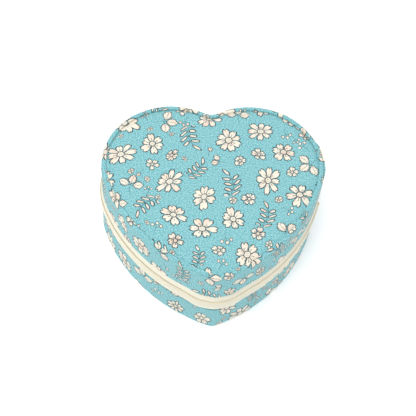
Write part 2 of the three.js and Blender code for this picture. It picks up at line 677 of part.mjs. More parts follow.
function bearingPlate(name, x, y0, y1, bores) {
  const plate = rectangle(y0, BED_TOP_Z + GAP, y1, AXIS_Z + 1.8);
  for (const [y, radius] of bores) plate.holes.push(circleHole(y, AXIS_Z, radius, 12));
  add(name, alongX(plate, x, x + BRACKET_THICK), 'zinc', movement);
}

function addCylinder() {
  const bore = SPINDLE_RADIUS + SHAFT_CLEAR;
  const drum = circleShape(CYLINDER_RADIUS, 20);
  drum.holes.push(circleHole(0, 0, bore, 12));
  const at = (geometry) => geometry.translate(0, 0, AXIS_Z);
  add('pinned_cylinder', at(alongX(drum, CYLINDER_START, CYLINDER_END)), 'brass', movement);
  const pinion = gearShape(PINION_TEETH, PINION_PITCH - 0.6, PINION_PITCH + 0.3, -Math.PI / 2, bore);
  const pinionX = CROWN_PITCH - GEAR_THICK / 2;
  add('cylinder_pinion', at(alongX(pinion, pinionX, pinionX + GEAR_THICK)), 'brass', movement);
  const drivePitch = DRIVE_TEETH * FINE_MODULE / 2;
  const driveTurn = Math.PI + Math.PI / DRIVE_TEETH;
  const drive = gearShape(DRIVE_TEETH, drivePitch - 0.35, drivePitch + 0.2, driveTurn, bore);
  add('cylinder_gear', at(alongX(drive, DRIVE_X, DRIVE_X + GEAR_THICK)), 'brass', movement);
  const spindleEnd = RIGHT_BRACKET_X + BRACKET_THICK + 0.4;
  add('cylinder_arbor', shaftX(SPINDLE_RADIUS, pinionX - 0.4, spindleEnd, 0, AXIS_Z), 'steel', movement);
  bearingPlate('bracket_left', BARREL_RADIUS + 0.4, -2.4, 2.4, [[0, bore]]);
  bearingPlate('bracket_right', RIGHT_BRACKET_X, GOVERNOR_Y - 1.4, 2.4, [[0, bore], [GOVERNOR_Y, bore]]);
}

function combPlate() {
  const pitch = CYLINDER_LENGTH / COMB_NOTES;
  const root = COMB_TIP_Y + COMB_TOOTH;
  const points = [new THREE.Vector2(CYLINDER_START, root + COMB_ROOT)];
  for (let i = 0; i < COMB_NOTES; i += 1) {
    const x = CYLINDER_START + i * pitch;
    points.push(new THREE.Vector2(x, root), new THREE.Vector2(x + COMB_GAP / 2, root));
    points.push(new THREE.Vector2(x + COMB_GAP / 2, COMB_TIP_Y));
    points.push(new THREE.Vector2(x + pitch - COMB_GAP / 2, COMB_TIP_Y));
    points.push(new THREE.Vector2(x + pitch - COMB_GAP / 2, root));
  }
  points.push(new THREE.Vector2(CYLINDER_END, root), new THREE.Vector2(CYLINDER_END, root + COMB_ROOT));
  return slab(new THREE.Shape(points), AXIS_Z - COMB_THICK / 2, AXIS_Z + COMB_THICK / 2);
}

function addComb() {
  add('comb', combPlate(), 'steel', movement);
  const root = COMB_TIP_Y + COMB_TOOTH;
  const under = AXIS_Z - COMB_THICK / 2 - GAP;
  const bridge = box(CYLINDER_START, root, BED_TOP_Z + GAP, CYLINDER_END, root + COMB_ROOT, under);
  add('comb_bridge', bridge, 'zinc', movement);
  const screwY = root + COMB_ROOT / 2;
  const inset = 3;
  const top = AXIS_Z + COMB_THICK / 2 + GAP;
  add('comb_screw_left', screwHead(CYLINDER_START + inset, screwY, top), 'steel', movement);
  add('comb_screw_right', screwHead(CYLINDER_END - inset, screwY, top), 'steel', movement);
}

function governorWheel() {
  const pitch = GOVERNOR_TEETH * FINE_MODULE / 2;
  const pinion = gearShape(GOVERNOR_TEETH, pitch - 0.35, pitch + 0.2, 0);
  const wheelPitch = WORM_WHEEL_TEETH * FINE_MODULE / 2;
  const wheel = gearShape(WORM_WHEEL_TEETH, wheelPitch - 0.35, WORM_WHEEL_TIP, 0);
  return join(
    alongX(pinion, DRIVE_X, DRIVE_X + GEAR_THICK),
    alongX(wheel, WORM_WHEEL_X, WORM_WHEEL_X + GEAR_THICK),
    shaftX(SPINDLE_RADIUS, DRIVE_X - 0.3, WORM_WHEEL_X + GEAR_THICK + 0.8, 0, 0),
  ).translate(0, GOVERNOR_Y, AXIS_Z);
}

function governorFan() {
  const worm = slab(circleShape(WORM_RADIUS, 12), BED_TOP_Z + 0.3, AXIS_Z + 2.4);
  const wings = box(-FAN_RADIUS, -0.25, FAN_Z, FAN_RADIUS, 0.25, FAN_Z + FAN_HEIGHT);
  return join(worm, wings).translate(WORM_X, WORM_Y, 0);
}

function governorBracket() {
  const low = BED_TOP_Z + GAP;
  const top = AXIS_Z + 2.7;
  const post = WORM_X + FAN_RADIUS + 0.4;
  const profile = new THREE.Shape([
    [post, low], [post + BRACKET_THICK, low], [post + BRACKET_THICK, top + BRACKET_THICK],
    [WORM_X - 1.2, top + BRACKET_THICK], [WORM_X - 1.2, top], [post, top],
  ].map((p) => new THREE.Vector2(...p)));
  return alongY(profile, WORM_Y - 2.4, WORM_Y + 2.4);
}

// The brake pad points at the fan, and the knob stands above the cover.
function stopLever() {
  const z = FAN_Z + 1;
  const knobLow = COVER_PLATE_Z + COVER_PLATE + 0.3;
  const y0 = LEVER_STALK_Y;
  const y1 = LEVER_STALK_Y + LEVER_STALK;
  const profile = new THREE.Shape([
    [y0, z - 0.6], [y1, z - 0.6], [y1, z], [LEVER_PAD_Y, z], [LEVER_PAD_Y, z + 2], [y1, z + 2],
    [y1, knobLow], [y1 + 1, knobLow], [y1 + 1, knobLow + 1.8], [y0 - 1, knobLow + 1.8],
    [y0 - 1, knobLow], [y0, knobLow],
  ].map((p) => new THREE.Vector2(...p)));
  return alongX(profile, LEVER_X, LEVER_X + LEVER_THICK);
}

function addGovernor() {
  add('governor_wheel', governorWheel(), 'brass', movement);
  add('governor_fan', governorFan(), 'plastic', movement);
  add('governor_bracket', governorBracket(), 'zinc', movement);
  add('stop_lever', stopLever(), 'steel');
}

addBase();
addCompartments();
addRingRolls();
addLid();
addHingePatch();
addZip();
addSlider();
addWinding();
addBedplate();
addCylinder();
addComb();
addGovernor();

export default group;
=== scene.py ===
"""Looks of a heart-shaped musical jewellery case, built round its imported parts, in metres."""

import json
import math

import bmesh
import bpy
import numpy as np
from mathutils import Matrix, Vector


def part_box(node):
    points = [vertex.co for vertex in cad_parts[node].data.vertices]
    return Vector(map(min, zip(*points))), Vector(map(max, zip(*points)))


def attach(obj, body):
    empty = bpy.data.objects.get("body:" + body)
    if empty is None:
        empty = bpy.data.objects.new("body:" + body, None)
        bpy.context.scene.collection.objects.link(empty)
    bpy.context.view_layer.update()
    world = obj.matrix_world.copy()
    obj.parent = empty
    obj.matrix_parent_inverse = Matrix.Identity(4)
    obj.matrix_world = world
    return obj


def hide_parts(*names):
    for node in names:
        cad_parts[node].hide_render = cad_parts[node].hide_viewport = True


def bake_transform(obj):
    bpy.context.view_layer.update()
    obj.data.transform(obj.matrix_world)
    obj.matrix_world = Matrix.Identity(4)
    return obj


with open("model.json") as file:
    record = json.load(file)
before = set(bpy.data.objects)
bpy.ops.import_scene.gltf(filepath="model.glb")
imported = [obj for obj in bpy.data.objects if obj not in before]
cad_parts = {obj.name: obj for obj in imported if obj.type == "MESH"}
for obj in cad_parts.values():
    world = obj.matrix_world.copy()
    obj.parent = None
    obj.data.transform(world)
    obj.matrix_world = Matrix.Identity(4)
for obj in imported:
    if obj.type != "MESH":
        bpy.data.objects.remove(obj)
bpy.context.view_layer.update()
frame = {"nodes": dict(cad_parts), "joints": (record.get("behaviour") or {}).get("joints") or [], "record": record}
MM = 0.001

# ---------------------------------------------------------------- camera, table and light
# A product camera with a long lens looks down on the tip of the heart from the front. The
# case stands on a pale table top under broad soft lights.

CASE_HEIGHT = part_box("lid_side_cover")[1].z


def aim_camera(azimuth, elevation, roll, distance, target, lens):
    """The camera stands at `distance` from the target, at an azimuth turned from -Y towards +X
    and an elevation above the table, and is turned by `roll` round its own view line. Angles
    are in degrees, and the lens is in millimetres on a sensor 36 mm wide."""
    a, e = math.radians(azimuth), math.radians(elevation)
    back = Vector((math.sin(a) * math.cos(e), -math.cos(a) * math.cos(e), math.sin(e)))
    right = Vector((math.cos(a), math.sin(a), 0))
    up = back.cross(right)
    turn = Matrix((right, up, back)).transposed().to_4x4()
    turn = turn @ Matrix.Rotation(math.radians(roll), 4, "Z")
    data = bpy.data.cameras.new("camera")
    data.sensor_width = 36
    data.lens = lens
    data.clip_start = 0.01
    camera = bpy.data.objects.new("camera", data)
    bpy.context.scene.collection.objects.link(camera)
    camera.matrix_world = Matrix.Translation(Vector(target) + back * distance) @ turn
    bpy.context.scene.camera = camera


aim_camera(azimuth=-7.28, elevation=58, roll=6.39, distance=0.5815,
           target=(-0.00148, 0.00431, CASE_HEIGHT / 2), lens=99.277)


def soft_light(name, place, target, size, power, colour=(1, 1, 1)):
    """A square area light of the given side, facing its target."""
    data = bpy.data.lights.new(name, "AREA")
    data.size = size
    data.energy = power
    data.color = colour
    light = bpy.data.objects.new(name, data)
    light.matrix_world = Matrix.Translation(place) @ (
        (Vector(target) - Vector(place)).to_track_quat("-Z", "Y").to_matrix().to_4x4())
    bpy.context.scene.collection.objects.link(light)


CASE_CENTRE = (0, 0, CASE_HEIGHT / 2)
soft_light("key light", (-0.2, -0.14, 0.88), CASE_CENTRE, 0.45, 4.15, (1, 0.99, 0.97))
soft_light("fill light", (0.6, -0.25, 0.55), CASE_CENTRE, 0.8, 0.3, (0.98, 0.99, 1))
soft_light("back light", (0.05, 0.7, 0.6), CASE_CENTRE, 0.8, 0.9)

world = bpy.data.worlds.new("studio")
world.use_nodes = True
sky = world.node_tree.nodes["Background"].inputs
sky["Color"].default_value, sky["Strength"].default_value = (0.97, 0.985, 1, 1), 0.6
bpy.context.scene.world = world
bpy.context.scene.view_settings.view_transform = "Standard"

table_mesh = bpy.data.meshes.new("table_top")
TABLE_HALF = 3.0
table_mesh.from_pydata([(x * TABLE_HALF, y * TABLE_HALF, 0)
                        for x, y in ((-1, -1), (1, -1), (1, 1), (-1, 1))], [], [(0, 1, 2, 3)])
table_top = bpy.data.objects.new("table_top", table_mesh)
bpy.context.scene.collection.objects.link(table_top)
paper = bpy.data.materials.new("white paper")
paper.use_nodes = True
for socket, value in (("Base Color", (0.93, 0.93, 0.93, 1)), ("Roughness", 0.9),
                      ("Emission Color", (1, 1, 1, 1)), ("Emission Strength", 0.3)):
    paper.node_tree.nodes["Principled BSDF"].inputs[socket].default_value = value
table_mesh.materials.append(paper)

# ---------------------------------------------------------------- printed cotton
# A fine turquoise lawn printed with a small-flowered cream repeat in slate outline: large
# notched blooms, small blossoms, serrated leaves, leafy sprays and berries, over a mottled ground.

CLOTH_SIZE = (470, 175)
BLOOM, SPRAY, LEAVES, BERRIES, CLUSTER, SIDE_BLOOM = range(6)
MOTIFS = [
    # kind, radius in mm, parts (petals or leaves), how many on the whole cloth
    (BLOOM, 8.6, 8, 75),
    (BLOOM, 8.2, 6, 60),
    (LEAVES, 6.8, 3, 60),
    (SPRAY, 7.8, 0, 90),
    (SIDE_BLOOM, 6.8, 5, 75),
    (BLOOM, 6.8, 9, 90),
    (CLUSTER, 7.0, 4, 85),
    (SPRAY, 6.2, 0, 110),
    (BLOOM, 4.6, 5, 150),
    (LEAVES, 4.8, 2, 130),
    (SIDE_BLOOM, 4.2, 4, 130),
    (BERRIES, 3.4, 3, 160),
    (LEAVES, 3.3, 1, 380),
    (BLOOM, 2.9, 5, 240),
    (BERRIES, 2.6, 3, 240),
    (BLOOM, 2.0, 4, 160),
]


TRIES, FREE_SHARE = 60, 0.3
TOUCH, OVERLAP = 0.3, 0.35
TURN = 2 * math.pi


def lay_out_print(seed):
    """Lays the motifs on the cloth, largest first. Most are tried against the edge of a motif
    that lies there already and some at random, and each stays at the first place where its
    circle clears all others, so they gather in drifts with open ground between. Rows hold x, y,
    turn, kind, radius, parts and a random number."""
    random = np.random.default_rng(seed)
    laid = np.array([[-99.0, -99, 0, 0, 0, 0, 0]])
    for kind, radius, parts, count in MOTIFS:
        for _ in range(count):
            size = radius * random.uniform(0.9, 1.1)
            beside = laid[random.integers(len(laid), size=TRIES)]
            ray = random.uniform(0, TURN, TRIES)
            near = beside[:, 4:5] + size - TOUCH
            tries = beside[:, :2] + near * np.stack([np.cos(ray), np.sin(ray)], 1)
            free = random.random(TRIES) < FREE_SHARE
            tries[free] = random.random((free.sum(), 2)) * CLOTH_SIZE
            apart = np.linalg.norm(tries[:, None] - laid[None, :, :2], axis=2) - laid[:, 4] - size
            room = (apart.min(axis=1) > -OVERLAP) & (tries > 0).all(1) & (tries < CLOTH_SIZE).all(1)
            if room.any():
                spin = random.uniform(0, TURN)
                row = [*tries[room.argmax()], spin, kind, size, parts, random.random()]
                laid = np.vstack([laid, row])
    return laid


PRINT = lay_out_print(11)
FACES_AT_ONCE = 2000


def print_on(piece, u, v):
    """Writes the cloth place of every face corner, in millimetres, and the corner's place seen
    from the motif that its face belongs to: the one whose circle is nearest the face."""
    mesh = piece.data
    corners = np.stack([u, v], 1)
    starts = np.array([p.loop_start for p in mesh.polygons])
    totals = np.array([p.loop_total for p in mesh.polygons])
    owner_of_corner = np.repeat(np.arange(len(starts)), totals)
    middle = np.add.reduceat(corners, starts) / totals[:, None]
    owner = np.concatenate([
        (np.linalg.norm(part[:, None] - PRINT[None, :, :2], axis=2) - PRINT[:, 4]).argmin(1)
        for part in np.array_split(middle, len(middle) // FACES_AT_ONCE + 1)
    ])
    motif = PRINT[owner][owner_of_corner]
    away = corners - motif[:, :2]
    cos, sin = np.cos(motif[:, 2]), np.sin(motif[:, 2])
    local = np.stack([away[:, 0] * cos + away[:, 1] * sin,
                      away[:, 1] * cos - away[:, 0] * sin, motif[:, 3]], 1)
    for name, values in (("motif_place", local), ("motif_form", motif[:, [4, 5, 6]])):
        store = mesh.attributes.new(name, "FLOAT_VECTOR", "CORNER")
        store.data.foreach_set("vector", values.astype(np.float32).ravel())
    cloth = mesh.uv_layers.new(name="cloth")
    cloth.data.foreach_set("uv", corners.astype(np.float32).ravel())


class Wire:
    """A shader value that can be reckoned with like a number, by Math nodes."""

    def __init__(self, tree, socket):
        self.tree, self.socket = tree, socket

    def op(self, kind, *others):
        node = self.tree.nodes.new("ShaderNodeMath")
        node.operation = kind
        for slot, value in zip(node.inputs, (self, *others)):
            if isinstance(value, Wire):
                self.tree.links.new(value.socket, slot)
            else:
                slot.default_value = value
        return Wire(self.tree, node.outputs[0])

    def __add__(self, other): return self.op("ADD", other)
    def __radd__(self, other): return self.op("ADD", other)
    def __sub__(self, other): return self.op("SUBTRACT", other)
    def __rsub__(self, other): return (self * -1).op("ADD", other)
    def __mul__(self, other): return self.op("MULTIPLY", other)
    def __truediv__(self, other): return self.op("DIVIDE", other)
    def __abs__(self): return self.op("ABSOLUTE")
    def sine(self): return self.op("SINE")
    def cosine(self): return self.op("COSINE")
    def least(self, other): return self.op("MINIMUM", other)
    def most(self, other): return self.op("MAXIMUM", other)
    def root(self): return self.op("SQRT")
    def whole(self): return self.op("FLOOR")
    def part(self): return self.op("FRACT")
    def above(self, other): return self.op("GREATER_THAN", other)
    def power(self, other): return self.op("POWER", other)

    def ramp(self, low, high):
        """0 at low and 1 at high, with a smooth step between; low may be above high."""
        node = self.tree.nodes.new("ShaderNodeMapRange")
        node.interpolation_type = "SMOOTHSTEP"
        self.tree.links.new(self.socket, node.inputs["Value"])
        node.inputs["From Min"].default_value, node.inputs["From Max"].default_value = low, high
        return Wire(self.tree, node.outputs["Result"])


def length_of(a, b):
    """Length of the vector (a, b)."""
    return (a * a + b * b).root()


def ellipse(a, b, half_a, half_b):
    """Distance outside an ellipse, near enough: its level (a/A)^2 + (b/B)^2 - 1 over the length
    of the level's slope."""
    level = (a / half_a).power(2) + (b / half_b).power(2)
    slope = length_of(a / half_a / half_a, b / half_b / half_b) * 2
    return (level - 1) / slope.most(0.01)


def shader_group(name, inputs, outputs, build):
    """A node group with the given sockets; build gets its tree and input wires and returns its
    output wires."""
    tree = bpy.data.node_groups.new(name, "ShaderNodeTree")
    for socket, kind in inputs:
        tree.interface.new_socket(socket, in_out="INPUT", socket_type=kind)
    for socket, kind in outputs:
        tree.interface.new_socket(socket, in_out="OUTPUT", socket_type=kind)
    source, sink = tree.nodes.new("NodeGroupInput"), tree.nodes.new("NodeGroupOutput")
    results = build(tree, [Wire(tree, source.outputs[socket]) for socket, kind in inputs])
    for (socket, kind), wire in zip(outputs, results):
        tree.links.new(wire.socket, sink.inputs[socket])
    return tree


FLOAT, VECTOR, COLOUR = "NodeSocketFloat", "NodeSocketVector", "NodeSocketColor"


def split(tree, wire):
    """The three parts of a vector."""
    node = tree.nodes.new("ShaderNodeSeparateXYZ")
    tree.links.new(wire.socket, node.inputs[0])
    return [Wire(tree, out) for out in node.outputs]


def chance(tree, wire):
    """A random number for each sixteenth of a wire, so that its last digits change nothing."""
    node = tree.nodes.new("ShaderNodeTexWhiteNoise")
    node.noise_dimensions = "1D"
    tree.links.new((wire * 16).op("ROUND").socket, node.inputs["W"])
    return Wire(tree, node.outputs["Value"])


def noise(tree, place, scale, detail=2, rough=0.5):
    """Smooth noise between 0 and 1 over a place, `scale` waves to a unit of it."""
    node = tree.nodes.new("ShaderNodeTexNoise")
    tree.links.new(place.socket, node.inputs["Vector"])
    node.inputs["Scale"].default_value = scale
    node.inputs["Detail"].default_value = detail
    node.inputs["Roughness"].default_value = rough
    return Wire(tree, node.outputs["Fac"])


LINE, HAIR = 0.36, 0.12


def drawn(outside, radius):
    """The outline of a shape, drawn finer on a small motif: where the distance from its edge,
    over a share that grows with the radius up to 1, is under the line's width."""
    return (abs(outside) / (radius * 0.11 + 0.38).least(1)).ramp(LINE, LINE * 0.35)


def petal_ring(tree, x, y, radius, petals, seed, least=0.72):
    """Distance outside a ring of petals: one ellipse to each equal sector, of random lengths and
    widths, narrow at the eye and notched at its end. Also the place across and out along the
    petal, and the turn and distance from the eye."""
    turn = y.op("ARCTAN2", x)
    reach = length_of(x, y)
    sector = turn * petals / (2 * math.pi) + seed * 7
    which = sector.whole().op("WRAP", petals, 0)
    long, wide = chance(tree, which + seed * 91), chance(tree, which + seed * 53 + 17)
    bend = (sector.part() - 0.5) * (2 * math.pi) / petals
    across, out = abs(reach * bend.sine()), reach * bend.cosine()
    length = radius * 0.95 * (long * (1 - least) + least)
    half_wide = radius * 1.86 / petals * (wide * 0.24 + 0.74)
    notch = (1 - across / (half_wide * 0.5)).most(0) * half_wide * 0.55
    scallop = (across / half_wide * 9).cosine() * radius * 0.015
    flare = across / (out / length * 0.62 + 0.5).most(0.5)
    outside = ellipse(out + notch + scallop - length * 0.62, flare, length * 0.4, half_wide)
    return outside, across, out / length, turn, reach


def bloom_group(tree, wires):
    """An open flower seen a little from the side, so narrower one way: a ring of petals with a
    fine vein each, round an eye with a rim and stamens on stalks."""
    x, y, radius, petals, seed = wires
    y = y * (seed * 0.42 + 1)
    x, y = x + radius * 0.05 * seed, y - radius * 0.05
    outside, across, share, turn, reach = petal_ring(tree, x, y, radius, petals, seed)
    eye = reach - radius * 0.2
    rays = 11
    spoke = abs(((turn * rays / (2 * math.pi)).part() - 0.5) * reach * (2 * math.pi / rays))
    big = radius.ramp(3.0, 4.6)
    stamen = spoke.ramp(0.13, 0.05) * (reach / radius).ramp(0.40, 0.37) * big
    anther = length_of(spoke, reach - radius * 0.4).ramp(0.3, 0.16) * big
    seeds = (reach / radius * 22).sine() * (turn * 7).sine()
    vein = across.ramp(0.12, 0.03) * share.ramp(0.6, 0.5) * 0.75
    outer = eye.ramp(-0.1, 0.05)
    line = (drawn(outside, radius).most(stamen).most(anther).most(vein) * outer).most(drawn(eye, radius))
    return outside.least(eye), line.most(seeds.ramp(0.4, 0.8) * (1 - outer) * 0.8)


def side_bloom_group(tree, wires):
    """A flower seen from its side: long petals fan out from a cup on a curved stalk."""
    x, y, radius, petals, seed = wires
    x, y = x + radius * 0.42, y + (x / radius).power(2) * radius * 0.12
    fan = math.radians(36)
    turn, reach = y.op("ARCTAN2", x), length_of(x, y)
    shift = (petals - 1) * 0.5
    which = (turn / fan + shift).op("ROUND").most(0).least(petals - 1)
    at = (which - shift) * fan
    long = chance(tree, which + seed * 71)
    out, across = reach * (turn - at).cosine(), abs(reach * (turn - at).sine())
    length = radius * (long * 0.26 + 1.06) * ((at * 0.55).cosine())
    notch = (1 - across / (radius * 0.1)).most(0) * radius * 0.1
    petal = ellipse(out + notch - length * 0.62, across, length * 0.4, radius * 0.235)
    cup = ellipse(x - radius * 0.1, y, radius * 0.22, radius * 0.2)
    stalk = abs(y - x * x * 0.07).ramp(0.15, 0.06) * (x / radius).ramp(-0.56, -0.52) * (x * -1).above(0)
    vein = across.ramp(0.12, 0.03) * (out / length).ramp(0.62, 0.5) * 0.75
    apart = cup.ramp(-0.1, 0.05)
    line = (drawn(petal, radius).most(vein) * apart).most(drawn(cup, radius))
    return petal.least(cup), line.most(stalk)


def cluster_group(tree, wires):
    """Small round-petalled blossoms round a stem's fork, with their stalks."""
    x, y, radius, blooms, seed = wires
    turn, reach = y.op("ARCTAN2", x), length_of(x, y)
    sector = turn * blooms / (2 * math.pi)
    which = sector.whole().op("WRAP", blooms, 0)
    far = chance(tree, which + seed * 37) * 0.16 + 0.5
    bend = (sector.part() - 0.5) * (2 * math.pi) / blooms
    a, b = reach * bend.cosine() - radius * far, reach * bend.sine()
    small = radius * 0.38
    spin = chance(tree, which + seed * 13) * 6
    a, b = a * spin.cosine() - b * spin.sine(), a * spin.sine() + b * spin.cosine()
    petal, across, share, _, inner = petal_ring(tree, a, b, small, 5, seed, 0.86)
    eye = inner - small * 0.28
    stalk = abs(reach * bend.sine()).ramp(0.15, 0.06) * (reach / radius).ramp(0.3, 0.25)
    line = (drawn(petal, small) * eye.ramp(-0.1, 0.05)).most(drawn(eye, small))
    return petal.least(eye), line.most(stalk)


def spray_group(tree, wires):
    """A curved stem along X with four pairs of slanting leaflets at even steps and one more at
    its end, smaller towards the end."""
    x, y, radius = wires
    y = y - x * x * 0.05 + radius * 0.08
    pitch = radius * 0.37
    a, b = ((x / pitch).part() - 0.5) * pitch, abs(y) - radius * 0.29
    slant = math.radians(63)
    along, across = a * math.cos(slant) + b * math.sin(slant), b * math.cos(slant) - a * math.sin(slant)
    taper = 1 - (x / radius + 0.3).power(2) * 0.22
    pairs = ellipse(along, across, radius * 0.245 * taper, radius * 0.09)
    pairs = pairs + (abs(x + pitch) - pitch * 2).above(0) * 9
    end = ellipse(x - radius * 0.66, y, radius * 0.25, radius * 0.1)
    leaf = pairs.least(end)
    stem = abs(y).ramp(0.18, 0.07) * (x / radius).ramp(0.46, 0.42) * (x / radius).ramp(-1.0, -0.96)
    rib = abs(across).ramp(0.1, 0.03) * abs(along / radius).ramp(0.13, 0.1) * 0.5
    return leaf, drawn(leaf, radius * 0.7).most(stem).most(rib * leaf.ramp(0.02, -0.1))


def leaves_group(tree, wires):
    """One to three pointed leaves with toothed edges, midribs and side veins, on short stalks
    that fan out from a point, with a tail of stem behind."""
    x, y, radius, leaves = wires
    fan = math.radians(74)
    turn, reach = y.op("ARCTAN2", x), length_of(x, y)
    shift = (leaves - 1) * 0.5
    place = ((turn / fan + shift).op("ROUND").most(0).least(leaves - 1) - shift) * fan
    out, across = reach * (turn - place).cosine(), abs(reach * (turn - place).sine())
    middle, half = radius * 0.58, radius * 0.42
    share = (out - middle) / half
    teeth = (out / radius * 7.2).part() * radius * 0.1 - radius * 0.03
    wide = (1 - share * share).most(0) * (radius * 0.29 + teeth)
    outside = (across - wide).most(abs(out - middle) - half) * 0.85
    inside = outside.ramp(0.05, -0.1)
    rib = across.ramp(0.12, 0.03) * (share.ramp(0.7, 0.6))
    side_rib = abs((out / radius * 4.6 - across / radius * 4).part() - 0.5).ramp(0.1, 0.03)
    side_rib = side_rib * across.ramp(1.1, 0) * 0.5
    stalk = across.ramp(0.12, 0.04) * (out - middle).ramp(0.1, 0) * out.above(0)
    tail = abs(y + x * x * 0.05).ramp(0.12, 0.04) * (x / radius).ramp(-0.75, -0.7) * (x * -1).above(0)
    return outside, drawn(outside, radius).most((rib + side_rib) * inside).most(stalk).most(tail)


def berries_group(tree, wires):
    """Three round berries on stalks that fan out from a point, with a tail of stem behind."""
    x, y, radius = wires
    fan = math.radians(58)
    turn, reach = y.op("ARCTAN2", x), length_of(x, y)
    place = (turn / fan).op("ROUND").most(-1).least(1) * fan
    out, across = reach * (turn - place).cosine(), reach * (turn - place).sine()
    berry = length_of(out - radius * 0.72, across) - radius * 0.24
    stalk = abs(across).ramp(0.12, 0.04) * (out / radius).ramp(0.52, 0.48) * out.above(0)
    tail = abs(y - x * x * 0.06).ramp(0.12, 0.04) * (x / radius).ramp(-0.95, -0.9) * (x * -1).above(0)
    return berry, drawn(berry, radius * 0.7).most(stalk).most(tail)


FORM = ("X", "Y", "Radius", "Parts", "Seed")
SHAPE = [("Outside", FLOAT), ("Line", FLOAT)]
MOTIF_GROUPS = [
    (shader_group(name, [(socket, FLOAT) for socket in FORM[:count]], SHAPE, build), count)
    for name, count, build in (
        ("bloom", 5, bloom_group), ("leaf spray", 3, spray_group),
        ("toothed leaves", 4, leaves_group), ("berries", 3, berries_group),
        ("blossom cluster", 5, cluster_group), ("side bloom", 5, side_bloom_group))
]


def use(tree, group, *wires):
    """Places a group, links its inputs in order, and returns its output wires."""
    node = tree.nodes.new("ShaderNodeGroup")
    node.node_tree = group
    for slot, wire in zip(node.inputs, wires):
        if isinstance(wire, Wire):
            tree.links.new(wire.socket, slot)
        else:
            slot.default_value = wire
    return [Wire(tree, out) for out in node.outputs]


def weave(tree, wires):
    """Plain weave: two crossed rows of rounded threads that pass over each other in turn, each
    thread a raised sine across its width, with slubs from a stretched noise."""
    place, pitch = wires
    u, v, _ = split(tree, place)
    warp, weft = (u / pitch * math.pi), (v / pitch * math.pi)
    swap = (warp.cosine() * weft.cosine()).ramp(-0.4, 0.4)
    threads = abs(warp.sine()) * swap + abs(weft.sine()) * (1 - swap)
    slub = noise(tree, place, 2.3, 3)
    return [threads * (0.7 + slub * 0.6)]


WEAVE = shader_group("plain weave", [("Place", VECTOR), ("Pitch", FLOAT)], [("Height", FLOAT)], weave)


def read_vector(tree, name):
    """A vector that the faces carry, or their UV place."""
    node = tree.nodes.new("ShaderNodeAttribute")
    node.attribute_name = name
    return Wire(tree, node.outputs["Vector"])


def flower_print(tree, wires):
    """The printed picture: each motif is drawn from the place that its faces carry, a little
    warped by noise as a hand-cut print is. Outputs are the cream ink, the slate outline, the
    ground's mottling and the flush of colour in the cream."""
    cloth = read_vector(tree, "cloth")
    x, y, kind = split(tree, read_vector(tree, "motif_place"))
    radius, parts, seed = split(tree, read_vector(tree, "motif_form"))
    bend = noise(tree, cloth, 0.55, 2)
    bend_across = noise(tree, cloth, 0.47, 2)
    x, y = x + (bend - 0.5) * 0.9, y + (bend_across - 0.5) * 0.9
    form = (x, y, radius, parts, seed)
    shapes = [use(tree, group, *form[:count]) for group, count in MOTIF_GROUPS]
    outside, line = shapes[0]
    for which, (shape, stroke) in enumerate(shapes[1:], 1):
        chosen = (abs(kind - which) * -1).above(-0.5)
        outside = outside + (shape - outside) * chosen
        line = line + (stroke - line) * chosen
    cream = outside.ramp(0.05, -0.05)
    mottle = noise(tree, cloth, 1.5, 4, 0.65)
    fleck = noise(tree, cloth, 2.0, 2, 0.6).ramp(0.56, 0.72)
    flush = noise(tree, cloth, 0.16, 2).ramp(0.45, 0.7)
    return [cream, line, mottle.ramp(0.3, 0.7) * 0.7 + fleck * 0.45, flush]


INKS = [(socket, FLOAT) for socket in ("Cream", "Line", "Ground", "Flush")]
FLOWER_PRINT = shader_group("flower print", [], INKS, flower_print)


def material(name, colour=(0.8, 0.8, 0.8), roughness=0.5, metallic=0.0, **sockets):
    """A Principled material with constants on its sockets; returns it with its tree and shader."""
    made = bpy.data.materials.new(name)
    made.use_nodes = True
    tree = made.node_tree
    shader = tree.nodes["Principled BSDF"]
    shader.inputs["Base Color"].default_value = (*colour, 1)
    shader.inputs["Roughness"].default_value = roughness
    shader.inputs["Metallic"].default_value = metallic
    for socket, value in sockets.items():
        shader.inputs[socket.replace("_", " ")].default_value = value
    return made, tree, shader


def mixed(tree, share, low, high):
    """A colour between two: each of low and high is a colour or a wire."""
    node = tree.nodes.new("ShaderNodeMix")
    node.data_type = "RGBA"
    tree.links.new(share.socket, node.inputs["Factor"])
    for slot, value in ((node.inputs[6], low), (node.inputs[7], high)):
        if isinstance(value, Wire):
            tree.links.new(value.socket, slot)
        else:
            slot.default_value = (*value, 1)
    return Wire(tree, node.outputs[2])


def bumped(tree, shader, height, depth):
    """Raises the surface by the height, up to `depth` millimetres."""
    node = tree.nodes.new("ShaderNodeBump")
    node.inputs["Distance"].default_value = depth * MM
    node.inputs["Strength"].default_value = 1
    tree.links.new(height.socket, node.inputs["Height"])
    tree.links.new(node.outputs[0], shader.inputs["Normal"])


def linear(*rgb):
    """An 8-bit screen colour as linear light."""
    return tuple(((c / 255 + 0.055) / 1.055) ** 2.4 if c > 10 else c / 255 / 12.92 for c in rgb)


THREAD_PITCH = 0.34
printed_cotton, tree, shader = material("printed cotton", roughness=0.86,
                                        Sheen_Weight=0.12, Sheen_Roughness=0.5)
cream, line, ground, flush = use(tree, FLOWER_PRINT)
tone = mixed(tree, ground, linear(74, 166, 180), linear(196, 242, 240))
ink = mixed(tree, flush, linear(247, 241, 224), linear(244, 224, 205))
picture = mixed(tree, cream, tone, ink)
picture = mixed(tree, line * 0.95, picture, linear(30, 56, 66))
tree.links.new(picture.socket, shader.inputs["Base Color"])
threads, = use(tree, WEAVE, read_vector(tree, "cloth"), THREAD_PITCH)
bumped(tree, shader, threads, 0.05)

# ---------------------------------------------------------------- lid cover, padded top panel
# Printed cotton over thin wadding and board, cut to the heart and set inside the turned edge of
# the side cover, with a shallow seam round it. The heart is two round lobes, two nearly straight
# sides, a small round tip and a small round cleft, all tangent, in millimetres.

